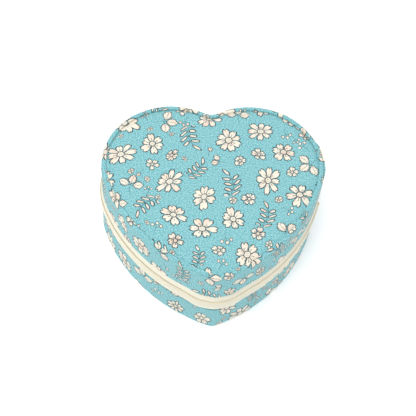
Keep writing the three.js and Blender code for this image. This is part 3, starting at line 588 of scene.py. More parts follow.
LOBE_RADIUS, LOBE_CENTRE_Y = 35.2, 14.8
SIDE_RADIUS, TIP_RADIUS, CLEFT_RADIUS = 86.0, 5.3, 7.0
LOBE_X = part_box("base_side_cover")[1].x / MM - LOBE_RADIUS
TIP_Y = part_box("base_side_cover")[0].y / MM
HINGE_ANGLE = math.radians(6)
ARC_POINTS = 400


def heart_arcs():
    """Centre, radius, first and last angle, and side (+1 where the arc bulges outwards) of each
    arc, counterclockwise from the hinge on the right lobe. Tangent circles have centres as far
    apart as the difference of their radii, or their sum at the cleft."""
    lobe, tip = np.array([LOBE_X, LOBE_CENTRE_Y]), np.array([0, TIP_Y + TIP_RADIUS])
    from_tip, from_lobe = SIDE_RADIUS - TIP_RADIUS, SIDE_RADIUS - LOBE_RADIUS
    span = np.linalg.norm(lobe - tip)
    unit = (lobe - tip) / span
    along = (from_tip ** 2 - from_lobe ** 2 + span ** 2) / (2 * span)
    side = tip + unit * along + np.array([-unit[1], unit[0]]) * math.sqrt(from_tip ** 2 - along ** 2)
    cleft = np.array([0, LOBE_CENTRE_Y + math.sqrt((LOBE_RADIUS + CLEFT_RADIUS) ** 2 - LOBE_X ** 2)])
    angle = lambda a, b: math.atan2(*(b - a)[::-1])
    flip = np.array([-1, 1])
    at_side, at_tip, at_cleft = angle(side, lobe), angle(side, tip), angle(lobe, cleft)
    turn = 2 * math.pi
    return [
        (lobe, LOBE_RADIUS, HINGE_ANGLE, at_cleft, 1),
        (cleft, CLEFT_RADIUS, at_cleft - math.pi, -at_cleft, -1),
        (lobe * flip, LOBE_RADIUS, math.pi - at_cleft, math.pi - at_side, 1),
        (side * flip, SIDE_RADIUS, math.pi - at_side, math.pi - at_tip, 1),
        (tip, TIP_RADIUS, math.pi - at_tip, turn + at_tip, 1),
        (side, SIDE_RADIUS, at_tip, at_side, 1),
        (lobe, LOBE_RADIUS, at_side, HINGE_ANGLE, 1),
    ]


def heart_line():
    """Dense points of the outline with their outward normals and distance along it."""
    places, normals = [], []
    for centre, radius, first, last, side in heart_arcs():
        a = np.linspace(first, last, ARC_POINTS)
        ray = np.stack([np.cos(a), np.sin(a)], 1)
        places.append(centre + radius * ray)
        normals.append(side * ray)
    places, normals = np.concatenate(places), np.concatenate(normals)
    steps = np.linalg.norm(np.diff(places, axis=0), axis=1)
    return places, normals, np.concatenate([[0], np.cumsum(steps)])


HEART, HEART_NORMAL, HEART_RUN = heart_line()
GIRTH = HEART_RUN[-1]


def on_heart(run):
    """Place and outward normal at distances along the outline, which may go past its girth."""
    run = np.mod(run, GIRTH)
    place = np.stack([np.interp(run, HEART_RUN, HEART[:, k]) for k in (0, 1)], -1)
    normal = np.stack([np.interp(run, HEART_RUN, HEART_NORMAL[:, k]) for k in (0, 1)], -1)
    return place, normal / np.linalg.norm(normal, axis=-1, keepdims=True)


def surface(name, points, close_rows=False, close_columns=False, caps=False):
    """A mesh of quads over a grid of points (rows, columns, 3) in millimetres. Rows or columns
    may close on themselves, and caps close the two ends of a tube whose columns close. Returns
    the object and, for every face corner, its row and column, counted past the end at a join."""
    rows, columns = points.shape[:2]
    r, c = np.meshgrid(np.arange(rows if close_rows else rows - 1),
                       np.arange(columns if close_columns else columns - 1), indexing="ij")
    corner_rows = np.stack([r, r + 1, r + 1, r], -1).reshape(-1, 4)
    corner_columns = np.stack([c, c, c + 1, c + 1], -1).reshape(-1, 4)
    index = (corner_rows % rows) * columns + corner_columns % columns
    faces = index.tolist()
    if caps:
        faces.append(list(range(columns)))
        faces.append([(rows - 1) * columns + k for k in range(columns)][::-1])
    mesh = bpy.data.meshes.new(name)
    mesh.from_pydata((points.reshape(-1, 3) * MM).tolist(), [], faces)
    piece = bpy.data.objects.new(name, mesh)
    bpy.context.scene.collection.objects.link(piece)
    if caps:
        ends = np.arange(columns)
        corner_rows = np.concatenate([corner_rows.ravel(), ends * 0, ends * 0 + rows - 1])
        corner_columns = np.concatenate([corner_columns.ravel(), ends, ends[::-1]])
    mesh.shade_smooth()
    return piece, corner_rows.ravel(), corner_columns.ravel()


MERGE = 1e-7


def face_out(piece):
    """Merges the points that fall together, as at a pole, and turns all faces outwards."""
    work = bmesh.new()
    work.from_mesh(piece.data)
    bmesh.ops.remove_doubles(work, verts=work.verts, dist=MERGE)
    bmesh.ops.recalc_face_normals(work, faces=work.faces)
    work.to_mesh(piece.data)
    work.free()


TURN_IN = (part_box("lid_side_cover")[1].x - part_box("lid_top_cover")[1].x) / MM
LID_TOP = CASE_HEIGHT / MM
RUN_STEP = 0.9
WAVES = 8
around = np.linspace(0, GIRTH, int(GIRTH / RUN_STEP) + 1)[:-1]


def ripple(along, across, seed, short, long):
    """Soft unevenness, mostly between -1 and 1: the mean of several sine waves with random
    phases and slants, a whole number of each round the heart, their wavelengths between short
    and long in millimetres."""
    random = np.random.default_rng(seed)
    total = np.zeros(np.broadcast(along, across).shape)
    for _ in range(WAVES):
        wave = random.uniform(short, long)
        count = max(1, round(GIRTH / wave))
        slant = random.uniform(-0.6, 0.6)
        phase = random.uniform(0, TURN)
        total = total + np.sin(TURN * (along * count / GIRTH + across * slant / wave) + phase)
    return total / WAVES * 1.6


PANEL_MIDDLE = np.array([0.0, 4.0])
PANEL_RINGS = 48


def heart_sheet(name, off, height_at):
    """A filled heart: the outline, moved out by off, is scaled towards its middle in rings, and
    each point stands at height_at(distance from the edge, x, y)."""
    place, normal = on_heart(around)
    edge = place + off * normal
    shares = 1 - np.linspace(0, 1, PANEL_RINGS) ** 0.8
    flat = PANEL_MIDDLE + shares[:, None, None] * (edge - PANEL_MIDDLE)[None]
    depth = (1 - shares)[:, None] * np.linalg.norm(edge - PANEL_MIDDLE, axis=1)[None]
    height = height_at(depth, flat[..., 0], flat[..., 1])
    height[-1] = height[-1].mean()
    piece, rows, columns = surface(name, np.concatenate([flat, height[..., None]], -1), close_columns=True)
    return piece, flat, rows, columns


def panel_height(depth, x, y):
    """Flat in the middle, falling into the seam as a rounded edge, with faint unevenness."""
    fall = 0.95 * np.exp(-(depth / 0.6) ** 1.4)
    uneven = 0.05 * np.sin(x / 6.1 + 1.7 * np.sin(y / 9.3)) * np.cos(y / 7.4)
    gather = np.sin(np.arctan2(y - PANEL_MIDDLE[1], x) * 97 + 2 * np.sin(x / 3))
    pucker = 0.06 * np.exp(-depth / 1.8) * gather
    return LID_TOP - 0.42 - fall + 0.3 * (1 - np.exp(-depth / 9)) + uneven + pucker


lid_panel, flat, rows, columns = heart_sheet("lid_panel_cloth", 0.35 - TURN_IN, panel_height)
spot = flat[rows, columns % len(around)]
print_on(lid_panel, spot[:, 0] + 110, spot[:, 1] + 58)
face_out(lid_panel)
lid_panel.data.materials.append(printed_cotton)
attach(lid_panel, "lid")
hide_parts("lid_top_cover")

# ---------------------------------------------------------------- zip line
# A zip is too stiff for the tip of the heart, so it goes round it in a wider bend than the walls.

TIP_RUN = HEART_RUN[np.argmin(HEART[:, 1])]


def zip_push(run):
    """How far the zip stands out from the outline: two soft bumps beside the tip, and a little
    pulled in at the tip itself."""
    away = np.abs(np.mod(run, GIRTH) - TIP_RUN)
    return 0.85 * np.exp(-((away - 8.5) / 4.6) ** 2) - 0.3 * np.exp(-(away / 3) ** 2)


# ---------------------------------------------------------------- lid cover, side
# One strip of the printed cotton over wadding, folded in at the zip, drawn up the wall, rolled
# over the top edge and turned down into the seam round the panel.


def swept(section, run):
    """A section of (offset from the outline, height) points carried along the outline: each
    point stands at the outline's place plus its offset times the outward normal."""
    place, normal = on_heart(run)
    section = np.broadcast_to(section, (len(run),) + np.shape(section)[-2:])
    flat = place[:, None] + section[..., :1] * normal[:, None]
    return np.concatenate([mitred(flat, place, section[..., 0]), section[..., 1:]], -1)


def mitred(flat, place, off):
    """Where an inward move uses up the tip's radius, its two sides meet in a point on the middle
    line instead of crossing it."""
    side = heart_arcs()[5][0]
    meet = side[1] - np.sqrt((SIDE_RADIUS + off) ** 2 - side[0] ** 2)
    tight = np.broadcast_to((off < -TIP_RADIUS + 0.2) & (place[:, 1] < 0)[:, None], flat.shape[:2])
    crossed = tight & (flat[..., 0] * np.where(place[:, :1] < 0, -1, 1) < 0)
    return np.stack([np.where(crossed, 0, flat[..., 0]),
                     np.where(crossed, np.maximum(flat[..., 1], meet), flat[..., 1])], -1)


def rounded(points, radii, steps=5):
    """A closed section with each corner rounded: a quadratic curve from one side to the other,
    its ends `radius` away from the corner, which pulls it as its middle control point."""
    points = np.asarray(points, float)
    out = []
    for k, corner in enumerate(points):
        radius = radii[k] if np.ndim(radii) else radii
        if radius <= 0:
            out.append(corner[None])
            continue
        to_last, to_next = points[k - 1] - corner, points[(k + 1) % len(points)] - corner
        first = corner + to_last * radius / np.linalg.norm(to_last)
        last = corner + to_next * radius / np.linalg.norm(to_next)
        t = np.linspace(0, 1, steps)[:, None]
        out.append((1 - t) ** 2 * first + 2 * t * (1 - t) * corner + t ** 2 * last)
    return np.concatenate(out)


def refined(section, step):
    """The same closed section with its long sides divided into steps."""
    out = []
    for k, point in enumerate(section):
        follow = section[(k + 1) % len(section)]
        parts = max(1, int(np.ceil(np.linalg.norm(follow - point) / step)))
        out.append(point + (follow - point) * np.arange(parts)[:, None] / parts)
    return np.concatenate(out)


def section_run(section):
    """Distance along a closed section, with the whole length as a last value."""
    around = np.concatenate([section, section[:1]])
    return np.concatenate([[0], np.cumsum(np.linalg.norm(np.diff(around, axis=0), axis=1))])


def wall_cloth(name, section, folds, seed, cloth_shift):
    """A closed section carried round the whole heart, printed without a break from its lower
    edge over its top, with soft unevenness outwards that dies away on the inner side."""
    section = np.asarray(section)
    here = swept(section, around)
    outer = np.clip((section[:, 0] + 0.9) / 0.9, 0, 1)
    push = (0.10 * ripple(around[:, None], section[None, :, 1], seed, 9, 30)
            + folds(around[:, None], section[None, :, 1])) * outer
    normal = on_heart(around)[1]
    here[..., :2] += push[..., None] * normal[:, None]
    piece, rows, columns = surface(name, here, close_rows=True, close_columns=True)
    length = section_run(section)
    print_on(piece, rows * (GIRTH / len(around)) + cloth_shift[0], length[columns] + cloth_shift[1])
    face_out(piece)
    piece.data.materials.append(printed_cotton)
    return piece


side_low, side_high = (corner.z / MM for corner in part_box("lid_side_cover"))
lid_section = refined(rounded(
    [(-0.95, side_low + 0.4), (-0.3, side_low - 0.15), (0.06, side_low + 0.9), (0.06, side_high),
     (-TURN_IN + 0.1, side_high + 0.05), (-TURN_IN + 0.1, side_high - 1.3), (-0.95, side_high - 1.5)],
    [0.2, 0.25, 0.5, 1.35, 0.75, 0.3, 0.3]), 1.0)


FOLDS_END = 39


def lid_folds(run, z):
    """The wall is drawn out with the zip, less and less up to FOLDS_END. Fine creases run along
    it just above the zip, and it puckers at the top seam."""
    low = np.exp(-((z - side_low - 2.4) / 1.5) ** 2)
    drawn_out = zip_push(run) * 0.9 * np.clip((FOLDS_END - z) / 8, 0, 1) ** 1.5
    crease = 0.24 * np.sin((z - side_low) * 3.9 + 1.2 * ripple(run, z, 5, 18, 50))
    crease = crease * (0.5 + 0.5 * ripple(run, z, 6, 14, 60))
    top = np.exp(-np.clip(side_high - 1.5 - z, 0, None) / 2.2)
    return drawn_out + crease * low + 0.09 * ripple(run, z, 7, 2.6, 7) * top


lid_side = wall_cloth("lid_side_cloth", lid_section, lid_folds, 21, (9, 116))
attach(lid_side, "lid")
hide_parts("lid_side_cover")

# ---------------------------------------------------------------- base cover, side and bottom
# The same cotton round the base, tucked behind the zip tape at the top and glued under the
# bottom edge. A second heart of cotton closes the underside.

base_low, base_high = (corner.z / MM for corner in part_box("base_side_cover"))
base_section = refined(rounded(
    [(-0.95, base_low + 0.3), (0.05, base_low), (0.05, base_high - 2.2), (-0.78, base_high - 2.0),
     (-0.78, base_high + 1.1), (-0.95, base_high + 0.8)], [0.2, 0.9, 0.25, 0.15, 0.08, 0.08]), 0.9)


def base_folds(run, z):
    """Small gathers where the cotton turns under the bottom edge."""
    return 0.07 * ripple(run, z, 9, 3, 9) * np.exp(-np.clip(z - 1.2, 0, None) / 1.8)


base_side = wall_cloth("base_side_cloth", base_section, base_folds, 33, (61, 144))
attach(base_side, "case")
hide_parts("base_side_cover")

# ---------------------------------------------------------------- underside
# A flat heart of the same cotton glued under the bottom board, with the key well's opening cut
# through it, and a turned edge.

WELL_LOW, WELL_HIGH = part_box("key_well")
WELL_CENTRE = np.array([(WELL_LOW[k] + WELL_HIGH[k]) / 2 / MM for k in (0, 1)])
WELL_RADIUS = (WELL_HIGH.x - WELL_LOW.x) / 2 / MM


def underside():
    """Rings that grow from the well's circle to the outline along straight rays from the well's
    centre. The cloth lies flat and curls up at both edges."""
    place, normal = on_heart(around)
    edge = place - 0.75 * normal
    ray = edge - WELL_CENTRE
    length = np.linalg.norm(ray, axis=1, keepdims=True)
    hole = WELL_CENTRE + ray / length * (WELL_RADIUS + 0.15)
    share = np.linspace(0, 1, 60)[:, None, None]
    flat = hole + share * (edge - hole)
    inner = share[..., 0] * (length.T - WELL_RADIUS)
    outer = (1 - share[..., 0]) * (length.T - WELL_RADIUS)
    height = 0.5 * np.exp(-(inner / 0.4) ** 2) + 0.5 * np.exp(-(outer / 0.4) ** 2) + 0.02
    return np.concatenate([flat, height[..., None]], -1)


points = underside()
bottom, rows, columns = surface("base_bottom_cloth", points, close_columns=True)
spot = points[rows, columns % len(around)]
print_on(bottom, spot[:, 0] + 280, 58 - spot[:, 1])
bottom.data.flip_normals()
bottom.data.materials.append(printed_cotton)
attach(bottom, "case")
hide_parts("base_bottom_cover")

# ---------------------------------------------------------------- hinge patch
# A strip of the cotton, folded double, runs from the lid down over the split to the base on the right lobe. It is
# the hinge.


def run_at(degrees):
    """Distance along the outline at an angle round the right lobe."""
    return (math.radians(degrees) - HINGE_ANGLE) * LOBE_RADIUS


PATCH_FROM, PATCH_TO = -10, 22
patch_low, patch_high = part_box("hinge_patch_lower")[0].z / MM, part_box("hinge_patch_upper")[1].z / MM
PATCH_STEPS = 26
patch_run = np.linspace(run_at(PATCH_FROM), run_at(PATCH_TO), PATCH_STEPS)
edge_share = np.minimum(np.arange(PATCH_STEPS), np.arange(PATCH_STEPS)[::-1]) / 1.6
inward = 0.55 * np.exp(-edge_share ** 2)
PATCH_IN, PATCH_OUT = 0.22, 1.0
patch_section = refined(rounded([(PATCH_IN, patch_low), (PATCH_OUT, patch_low), (PATCH_OUT, patch_high),
                                 (PATCH_IN, patch_high)], [0.1, 0.5, 0.5, 0.1]), 0.8)
patch_sections = np.repeat(patch_section[None], len(patch_run), 0)
fullness = (patch_section[:, 0] - PATCH_IN) / (PATCH_OUT - PATCH_IN)
patch_sections[..., 0] -= inward[:, None] * fullness
uneven = ripple(patch_run[:, None] * 6, patch_section[None, :, 1], 44, 9, 30)
patch_sections[..., 0] += fullness * 0.07 * uneven
patch, rows, columns = surface("hinge_patch_cloth", swept(patch_sections, patch_run),
                               close_columns=True, caps=True)
patch_length = section_run(patch_section)
print_on(patch, patch_run[rows] + 300, patch_length[columns] + 40)
face_out(patch)
patch.data.materials.append(printed_cotton)
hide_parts("hinge_patch_lower", "hinge_patch_upper")
SPLIT_Z = next(joint for joint in frame["joints"] if joint["name"] == "lid_hinge")["pos_m"][2]
BEND = 3 * MM
SPLIT_Z - BEND
SPLIT_Z + BEND
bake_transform(patch)

# ---------------------------------------------------------------- zip tapes
# Fine woven tape on both halves, with cords along it. The lower tape is wide and its bottom edge
# stands proud of the cotton, which steps in behind it; the upper one runs up under the lid's cover.

TAPE_CORD, TAPE_IN, TAPE_STEPS = 1.25, -0.42, 420
zip_tape, tree, shader = material("zip tape", linear(240, 236, 214), 0.78, Sheen_Weight=0.1)
tape_place = read_vector(tree, "cloth")
threads, = use(tree, WEAVE, tape_place, 0.3)
dust = noise(tree, tape_place, 0.35, 3)
tone = mixed(tree, dust, linear(249, 244, 221), linear(254, 252, 239))
# Painted shade: the tape's colour is darkened in the grooves between its cords.
painted_groove_shade = (split(tree, tape_place)[1] / TAPE_CORD * TURN).sine().ramp(0.55, 1.0)
tone = mixed(tree, painted_groove_shade * 0.5, tone, linear(226, 214, 184))
tree.links.new(tone.socket, shader.inputs["Base Color"])
bumped(tree, shader, threads, 0.045)


def strip_cloth(name, section, first, last, seed):
    """A closed section carried along the outline between two angles of the right lobe, the long
    way round, with its ends closed and its cloth place stored."""
    run = np.linspace(run_at(first), GIRTH + run_at(last), TAPE_STEPS)
    section = np.asarray(section)
    lean = np.clip((section[:, 0] - TAPE_IN) / 0.5, 0, 1)
    sections = np.repeat(section[None], len(run), 0)
    sections[..., 0] += 0.035 * ripple(run[:, None], section[None, :, 1], seed, 5, 22)
    sections[..., 0] += zip_push(run)[:, None] * lean
    sections[..., 1] += 0.05 * ripple(run[:, None], section[None, :, 1] * 0, seed + 1, 12, 50)
    piece, rows, columns = surface(name, swept(sections, run), close_columns=True, caps=True)
    length = section_run(section)
    cloth = piece.data.uv_layers.new(name="cloth")
    corners = np.stack([run[rows], length[columns]], 1)
    cloth.data.foreach_set("uv", corners.astype(np.float32).ravel())
    face_out(piece)
    piece.data.materials.append(zip_tape)
    return piece


def ribbed(top, bottom, off_top, off_bottom, ribs, depth):
    """Outer face of a tape from top to bottom height, with rounded ribs along it."""
    t = np.linspace(0, 1, ribs * 6 + 1)
    return np.stack([off_top + (off_bottom - off_top) * t ** 2 + depth * abs(np.sin(math.pi * ribs * t)),
                     top + (bottom - top) * t], 1)


tape_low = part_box("zip_tape_lower")[0].z / MM
tape_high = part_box("zip_tape_upper")[1].z / MM
SPLIT = SPLIT_Z / MM
TAPE_START, TAPE_END = 24, -12
lower_section = np.concatenate([
    [(TAPE_IN, SPLIT - 0.4), (0.45, SPLIT - 0.4)],
    ribbed(SPLIT - 1.1, tape_low + 1.4, 0.5, 0.58, 4, 0.3),
    [(0.64, tape_low + 1.0), (0.78, tape_low + 0.55), (0.8, tape_low + 0.2), (0.68, tape_low),
     (0.46, tape_low + 0.1), (0.1, tape_low + 1.1), (TAPE_IN, tape_low + 1.5)]])
upper_section = np.concatenate([
    [(TAPE_IN, SPLIT + 0.35), (TAPE_IN, tape_high + 0.75), (-0.12, tape_high + 0.75), (0.0, tape_high)],
    ribbed(tape_high - 0.25, SPLIT + 1.1, 0.1, 0.5, 3, 0.2), [(0.45, SPLIT + 0.4)]])
lower_tape = strip_cloth("zip_tape_lower_cloth", lower_section, TAPE_START, TAPE_END, 51)
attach(lower_tape, "case")
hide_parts("zip_tape_lower")
upper_tape = strip_cloth("zip_tape_upper_cloth", upper_section, TAPE_START, TAPE_END, 53)
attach(upper_tape, "lid")
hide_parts("zip_tape_upper")

# ---------------------------------------------------------------- zip coils
# Each half is one nylon wire wound into a flat coil and sewn to its tape. The loops of the two
# halves stand half a pitch apart and mesh at the split, where each loop has a thicker head.

COIL_PITCH, LOOP_STEPS, WIRE_SIDES = 1.1, 12, 6
COIL_START, COIL_END = 27, -15
zip_coil, tree, shader = material("zip coil", linear(238, 222, 190), 0.34, Coat_Weight=0.15)


def object_place(tree):
    """Object coordinates in millimetres."""
    source = Wire(tree, tree.nodes.new("ShaderNodeTexCoord").outputs["Object"])
    node = tree.nodes.new("ShaderNodeVectorMath")
    node.operation = "SCALE"
    node.inputs["Scale"].default_value = 1 / MM
    tree.links.new(source.socket, node.inputs[0])
    return Wire(tree, node.outputs[0])


grain = noise(tree, object_place(tree), 0.9, 2)
tone = mixed(tree, grain, linear(246, 234, 206), linear(253, 247, 229))
tree.links.new(tone.socket, shader.inputs["Base Color"])


def coil(name, heads_up, phase):
    """A helix of flattened loops along the outline. In the first half of a turn the wire crosses
    the front straight up, in the second it comes back behind and moves on one pitch."""
    first, last = run_at(COIL_START) + phase * COIL_PITCH, GIRTH + run_at(COIL_END)
    loops = int((last - first) / COIL_PITCH)
    t = np.arange(loops * LOOP_STEPS + 1) / LOOP_STEPS
    part = t % 1
    part[-1] = 1
    run = first + COIL_PITCH * (t - part + np.where(part < 0.5, part * 0.16, 0.08 + (part - 0.5) * 1.84))
    side = 1 if heads_up else -1
    height = SPLIT + side * (-0.42 - 0.72 * np.cos(2 * math.pi * part))
    off = 0.8 + 0.3 * np.sin(2 * math.pi * part) + zip_push(run)
    place, normal = on_heart(run)
    line = np.concatenate([place + off[:, None] * normal, height[:, None]], 1)
    ahead = np.gradient(line, axis=0)
    ahead /= np.linalg.norm(ahead, axis=1, keepdims=True)
    along = np.stack([-normal[:, 1], normal[:, 0], 0 * off], 1)
    one = along - (along * ahead).sum(1, keepdims=True) * ahead
    one /= np.linalg.norm(one, axis=1, keepdims=True)
    two = np.cross(ahead, one)
    thick = 0.24 + 0.05 * np.exp(-((height - (SPLIT + side * 0.25)) / 0.3) ** 2)
    a = np.arange(WIRE_SIDES)[None, :, None] / WIRE_SIDES * TURN
    ring = line[:, None] + thick[:, None, None] * (np.cos(a) * one[:, None] + np.sin(a) * two[:, None])
    piece, _, _ = surface(name, ring, close_columns=True, caps=True)
    face_out(piece)
    piece.data.materials.append(zip_coil)
    return piece


lower_coil = coil("zip_coil_lower_wire", True, 0)
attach(lower_coil, "case")
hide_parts("zip_coil_lower")
upper_coil = coil("zip_coil_upper_wire", False, 0.5)
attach(upper_coil, "lid")
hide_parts("zip_coil_upper")

# ---------------------------------------------------------------- velvet linings
# Short cream pile glued inside both trays and rolled over the edges of the boards, so that a
# soft rim shows all round when the case is open.

velvet, tree, shader = material("velvet", linear(234, 222, 205), 0.92,
                                Sheen_Weight=0.7, Sheen_Roughness=0.35)
here = object_place(tree)
nap = noise(tree, here, 0.11, 5, 0.62)
pile = noise(tree, here, 2.6, 2)
tone = mixed(tree, nap.ramp(0.2, 0.8), linear(230, 216, 197), linear(240, 230, 214))
tree.links.new(tone.socket, shader.inputs["Base Color"])
bumped(tree, shader, pile * 0.6 + nap, 0.12)


def lining(name, section, radii, seed, body, node):
    """A velvet section carried round the heart, softly uneven, that stands for a CAD node."""
    section = refined(rounded(section, radii), 1.4)
    here = swept(section, around)
    soft = 0.07 * ripple(around[:, None], section[None, :, 1], seed, 8, 30)
    here[..., :2] += np.clip(soft, None, 0.1)[..., None] * on_heart(around)[1][:, None]
    piece, _, _ = surface(name, here, close_rows=True, close_columns=True)
    face_out(piece)
    piece.data.materials.append(velvet)
    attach(piece, body)
    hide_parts(node)
    return piece


def wall_velvet(name, seed, body, node, end, rim, into):
    """Up the wall from the tray's end, over the rim at the split and a little down the outside.
    `into` is +1 where the tray lies above its end and -1 where it lies below."""
    section = [(-2.85, end + 0.1 * into), (-3.6, end + 0.1 * into), (-3.62, rim - 0.3 * into),
               (-3.2, SPLIT - 0.06 * into), (-0.72, SPLIT - 0.06 * into), (-0.55, rim - 1.2 * into),
               (-0.7, rim - 1.2 * into), (-0.78, rim + 0.06 * into), (-2.7, rim + 0.06 * into)]
    lining(name, section, [0.1, 0.2, 0.5, 0.4, 0.3, 0.05, 0.05, 0.05, 0.05], seed, body, node)


low, high = (corner.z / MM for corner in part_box("base_wall_lining"))
wall_velvet("base_wall_velvet", 61, "case", "base_wall_lining", low, high, 1)
low, high = (corner.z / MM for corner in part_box("lid_wall_lining"))
wall_velvet("lid_wall_velvet", 63, "lid", "lid_wall_lining", high, low, -1)

# ---------------------------------------------------------------- padded frame round the mirror
# A velvet pad, crowned across its width, that holds the mirror in the lid.

low, high = (corner.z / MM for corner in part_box("mirror_frame"))
pad_out, pad_in = -3.85, -9.9
t = np.linspace(0, math.pi, 13)
crown = np.stack([(pad_out + pad_in) / 2 + (pad_out - pad_in) / 2 * np.cos(t) * (1 - 0.12 * np.sin(t) ** 2),
                  high - 0.5 - (high - 0.5 - low + 0.5) * np.sin(t) ** 0.6], 1)
frame_section = np.concatenate([[(pad_out, high)], crown, [(pad_in, high)]])
lining("mirror_frame_pad", frame_section, [0] * len(frame_section), 65, "lid", "mirror_frame")

# ---------------------------------------------------------------- ring rolls
# Five soft velvet rolls, side by side, that pinch rings between them. Each is a stuffed tube:
# its CAD solid, drawn in a little, is swelled by a cloth simulation with pressure, at ten times
# its size so that the cloth settings suit it, and gets its sewn ends afterwards.

SIM_SCALE = 10


def stuffed(node, shrink, cap, voxel):
    """A padded copy of a CAD solid. Shrink and cap, the farthest a point may swell, and voxel
    are in millimetres at real size."""
    low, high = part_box(node)
    centre, half = (low + high) / 2, (high - low) / 2
    copy = frame["nodes"][node].data.copy()
    work = bmesh.new()
    work.from_mesh(copy)
    bmesh.ops.remove_doubles(work, verts=work.verts, dist=1e-6)
    for vertex in work.verts:
        for k in (0, 1):
            vertex.co[k] = centre[k] + (vertex.co[k] - centre[k]) * (1 - shrink * MM / half[k])
        vertex.co = (vertex.co - centre) * SIM_SCALE
    work.to_mesh(copy)
    work.free()
    piece = bpy.data.objects.new(node + "_velvet", copy)
    bpy.context.scene.collection.objects.link(piece)
    remesh = piece.modifiers.new("remesh", "REMESH")
    remesh.mode, remesh.voxel_size = "VOXEL", voxel * MM * SIM_SCALE
    bake(piece)
    start = read_points(piece.data)
    pin = piece.vertex_groups.new(name="pin")
    floor = start[:, 2].min() + 1.5 * MM * SIM_SCALE
    pin.add(np.where(start[:, 2] < floor)[0].tolist(), 1, "REPLACE")
    cloth = piece.modifiers.new("cloth", "CLOTH")
    cloth.settings.use_pressure = True
    cloth.settings.uniform_pressure_force = 4
    cloth.settings.vertex_group_mass = "pin"
    cloth.settings.effector_weights.gravity = 0
    for step in range(1, 21):
        bpy.context.scene.frame_set(step)
    bake(piece)
    bpy.context.scene.frame_set(1)
    moved = read_points(piece.data) - start
    far = np.linalg.norm(moved, axis=1, keepdims=True)
    limit = cap * MM * SIM_SCALE
    points = (start + moved * np.minimum(1, limit / np.maximum(far, 1e-9))) / SIM_SCALE + np.array(centre)
    write_points(piece.data, points)
    smooth = piece.modifiers.new("smooth", "SUBSURF")
    smooth.levels = smooth.render_levels = 1
    bake(piece)
    piece.data.shade_smooth()
    return piece


def bake(piece):
    """Applies the piece's modifiers to its mesh."""
    done = bpy.data.meshes.new_from_object(piece.evaluated_get(bpy.context.evaluated_depsgraph_get()))
    piece.modifiers.clear()
    piece.data = done


def read_points(mesh):
    """The mesh's points as rows of an array."""
    store = np.empty(len(mesh.vertices) * 3)
    mesh.vertices.foreach_get("co", store)
    return store.reshape(-1, 3)


def write_points(mesh, points):
    mesh.vertices.foreach_set("co", points.astype(np.float32).ravel())
    mesh.update()


for node in sorted(name for name in frame["nodes"] if name.startswith("ring_roll")):
    roll = stuffed(node, shrink=0.45, cap=0.55, voxel=0.55)
    points = read_points(roll.data) / MM
    low, high = points.min(axis=0), points.max(axis=0)
    ends = np.minimum(points[:, 1] - low[1], high[1] - points[:, 1])
    across = points[:, 0] - (low[0] + high[0]) / 2
    gather = 0.16 * np.exp(-ends / 1.8) * np.sin(np.arctan2(points[:, 2] - high[2] + 3.6, across) * 11)
    points[:, 0] += gather * np.sign(across) * np.minimum(1, abs(across))
    points[:, 2] += gather * (points[:, 2] > low[2] + 2)
    write_points(roll.data, points * MM)
    roll.data.materials.clear()
    roll.data.materials.append(velvet)
    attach(roll, "case")
    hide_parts(node)

# ---------------------------------------------------------------- finishes of the hard parts
# Metals carry fine scratches and a mottled shine, moulded plastic a slight orange peel, board
# and plywood their fibres and grain. Each hard part keeps its CAD shape, with its edges rounded.


def scratches(tree, wires):
    """Long fine scratches: noise stretched 60 times one way. Outputs a smudged shine and a
    height."""
    place, = wires
    x, y, z = split(tree, place)
    node = tree.nodes.new("ShaderNodeCombineXYZ")
    for slot, wire in zip(node.inputs, (x * 0.12, y * 6, z * 6)):
        tree.links.new(wire.socket, slot)
    fine = noise(tree, Wire(tree, node.outputs[0]), 1.4, 3, 0.6)
    smudge = noise(tree, place, 0.35, 4, 0.6)
    return [fine * 0.4 + smudge * 0.6, fine]


SCRATCHES = shader_group("scratches", [("Place", VECTOR)],
                         [("Smudge", FLOAT), ("Height", FLOAT)], scratches)


def ranged(wire, low, high):
    """A wire between 0 and 1 spread from low to high."""
    return wire * (high - low) + low


def metal(name, dark, light, smooth, rough):
    """Metal whose colour and roughness vary with the smudges on its shine."""
    made, tree, shader = material(name, dark, metallic=1.0)
    smudge, fine = use(tree, SCRATCHES, object_place(tree))
    tree.links.new(mixed(tree, smudge.ramp(0.3, 0.7), dark, light).socket, shader.inputs["Base Color"])
    tree.links.new(ranged(smudge, smooth, rough).socket, shader.inputs["Roughness"])
    bumped(tree, shader, fine, 0.01)
    return made


def fibrous(name, dark, light, roughness, stretch, scale):
    """Board or wood: noise drawn out along X by stretch."""
    made, tree, shader = material(name, dark, roughness)
    x, y, z = split(tree, object_place(tree))
    node = tree.nodes.new("ShaderNodeCombineXYZ")
    for slot, wire in zip(node.inputs, (x / stretch, y, z * 3)):
        tree.links.new(wire.socket, slot)
    fibre = noise(tree, Wire(tree, node.outputs[0]), scale, 5, 0.65)
    tree.links.new(mixed(tree, fibre.ramp(0.3, 0.7), dark, light).socket, shader.inputs["Base Color"])
    bumped(tree, shader, fibre, 0.08)
    return made


def plastic(name, dark, light, roughness):
    """Moulded plastic: a faint cloud of colour and a fine orange peel."""
    made, tree, shader = material(name, dark, roughness, Coat_Weight=0.1)
    place = object_place(tree)
    peel, cloud = noise(tree, place, 1.6, 2), noise(tree, place, 0.2, 3)
    tree.links.new(mixed(tree, cloud, dark, light).socket, shader.inputs["Base Color"])
    bumped(tree, shader, peel, 0.02)
    return made


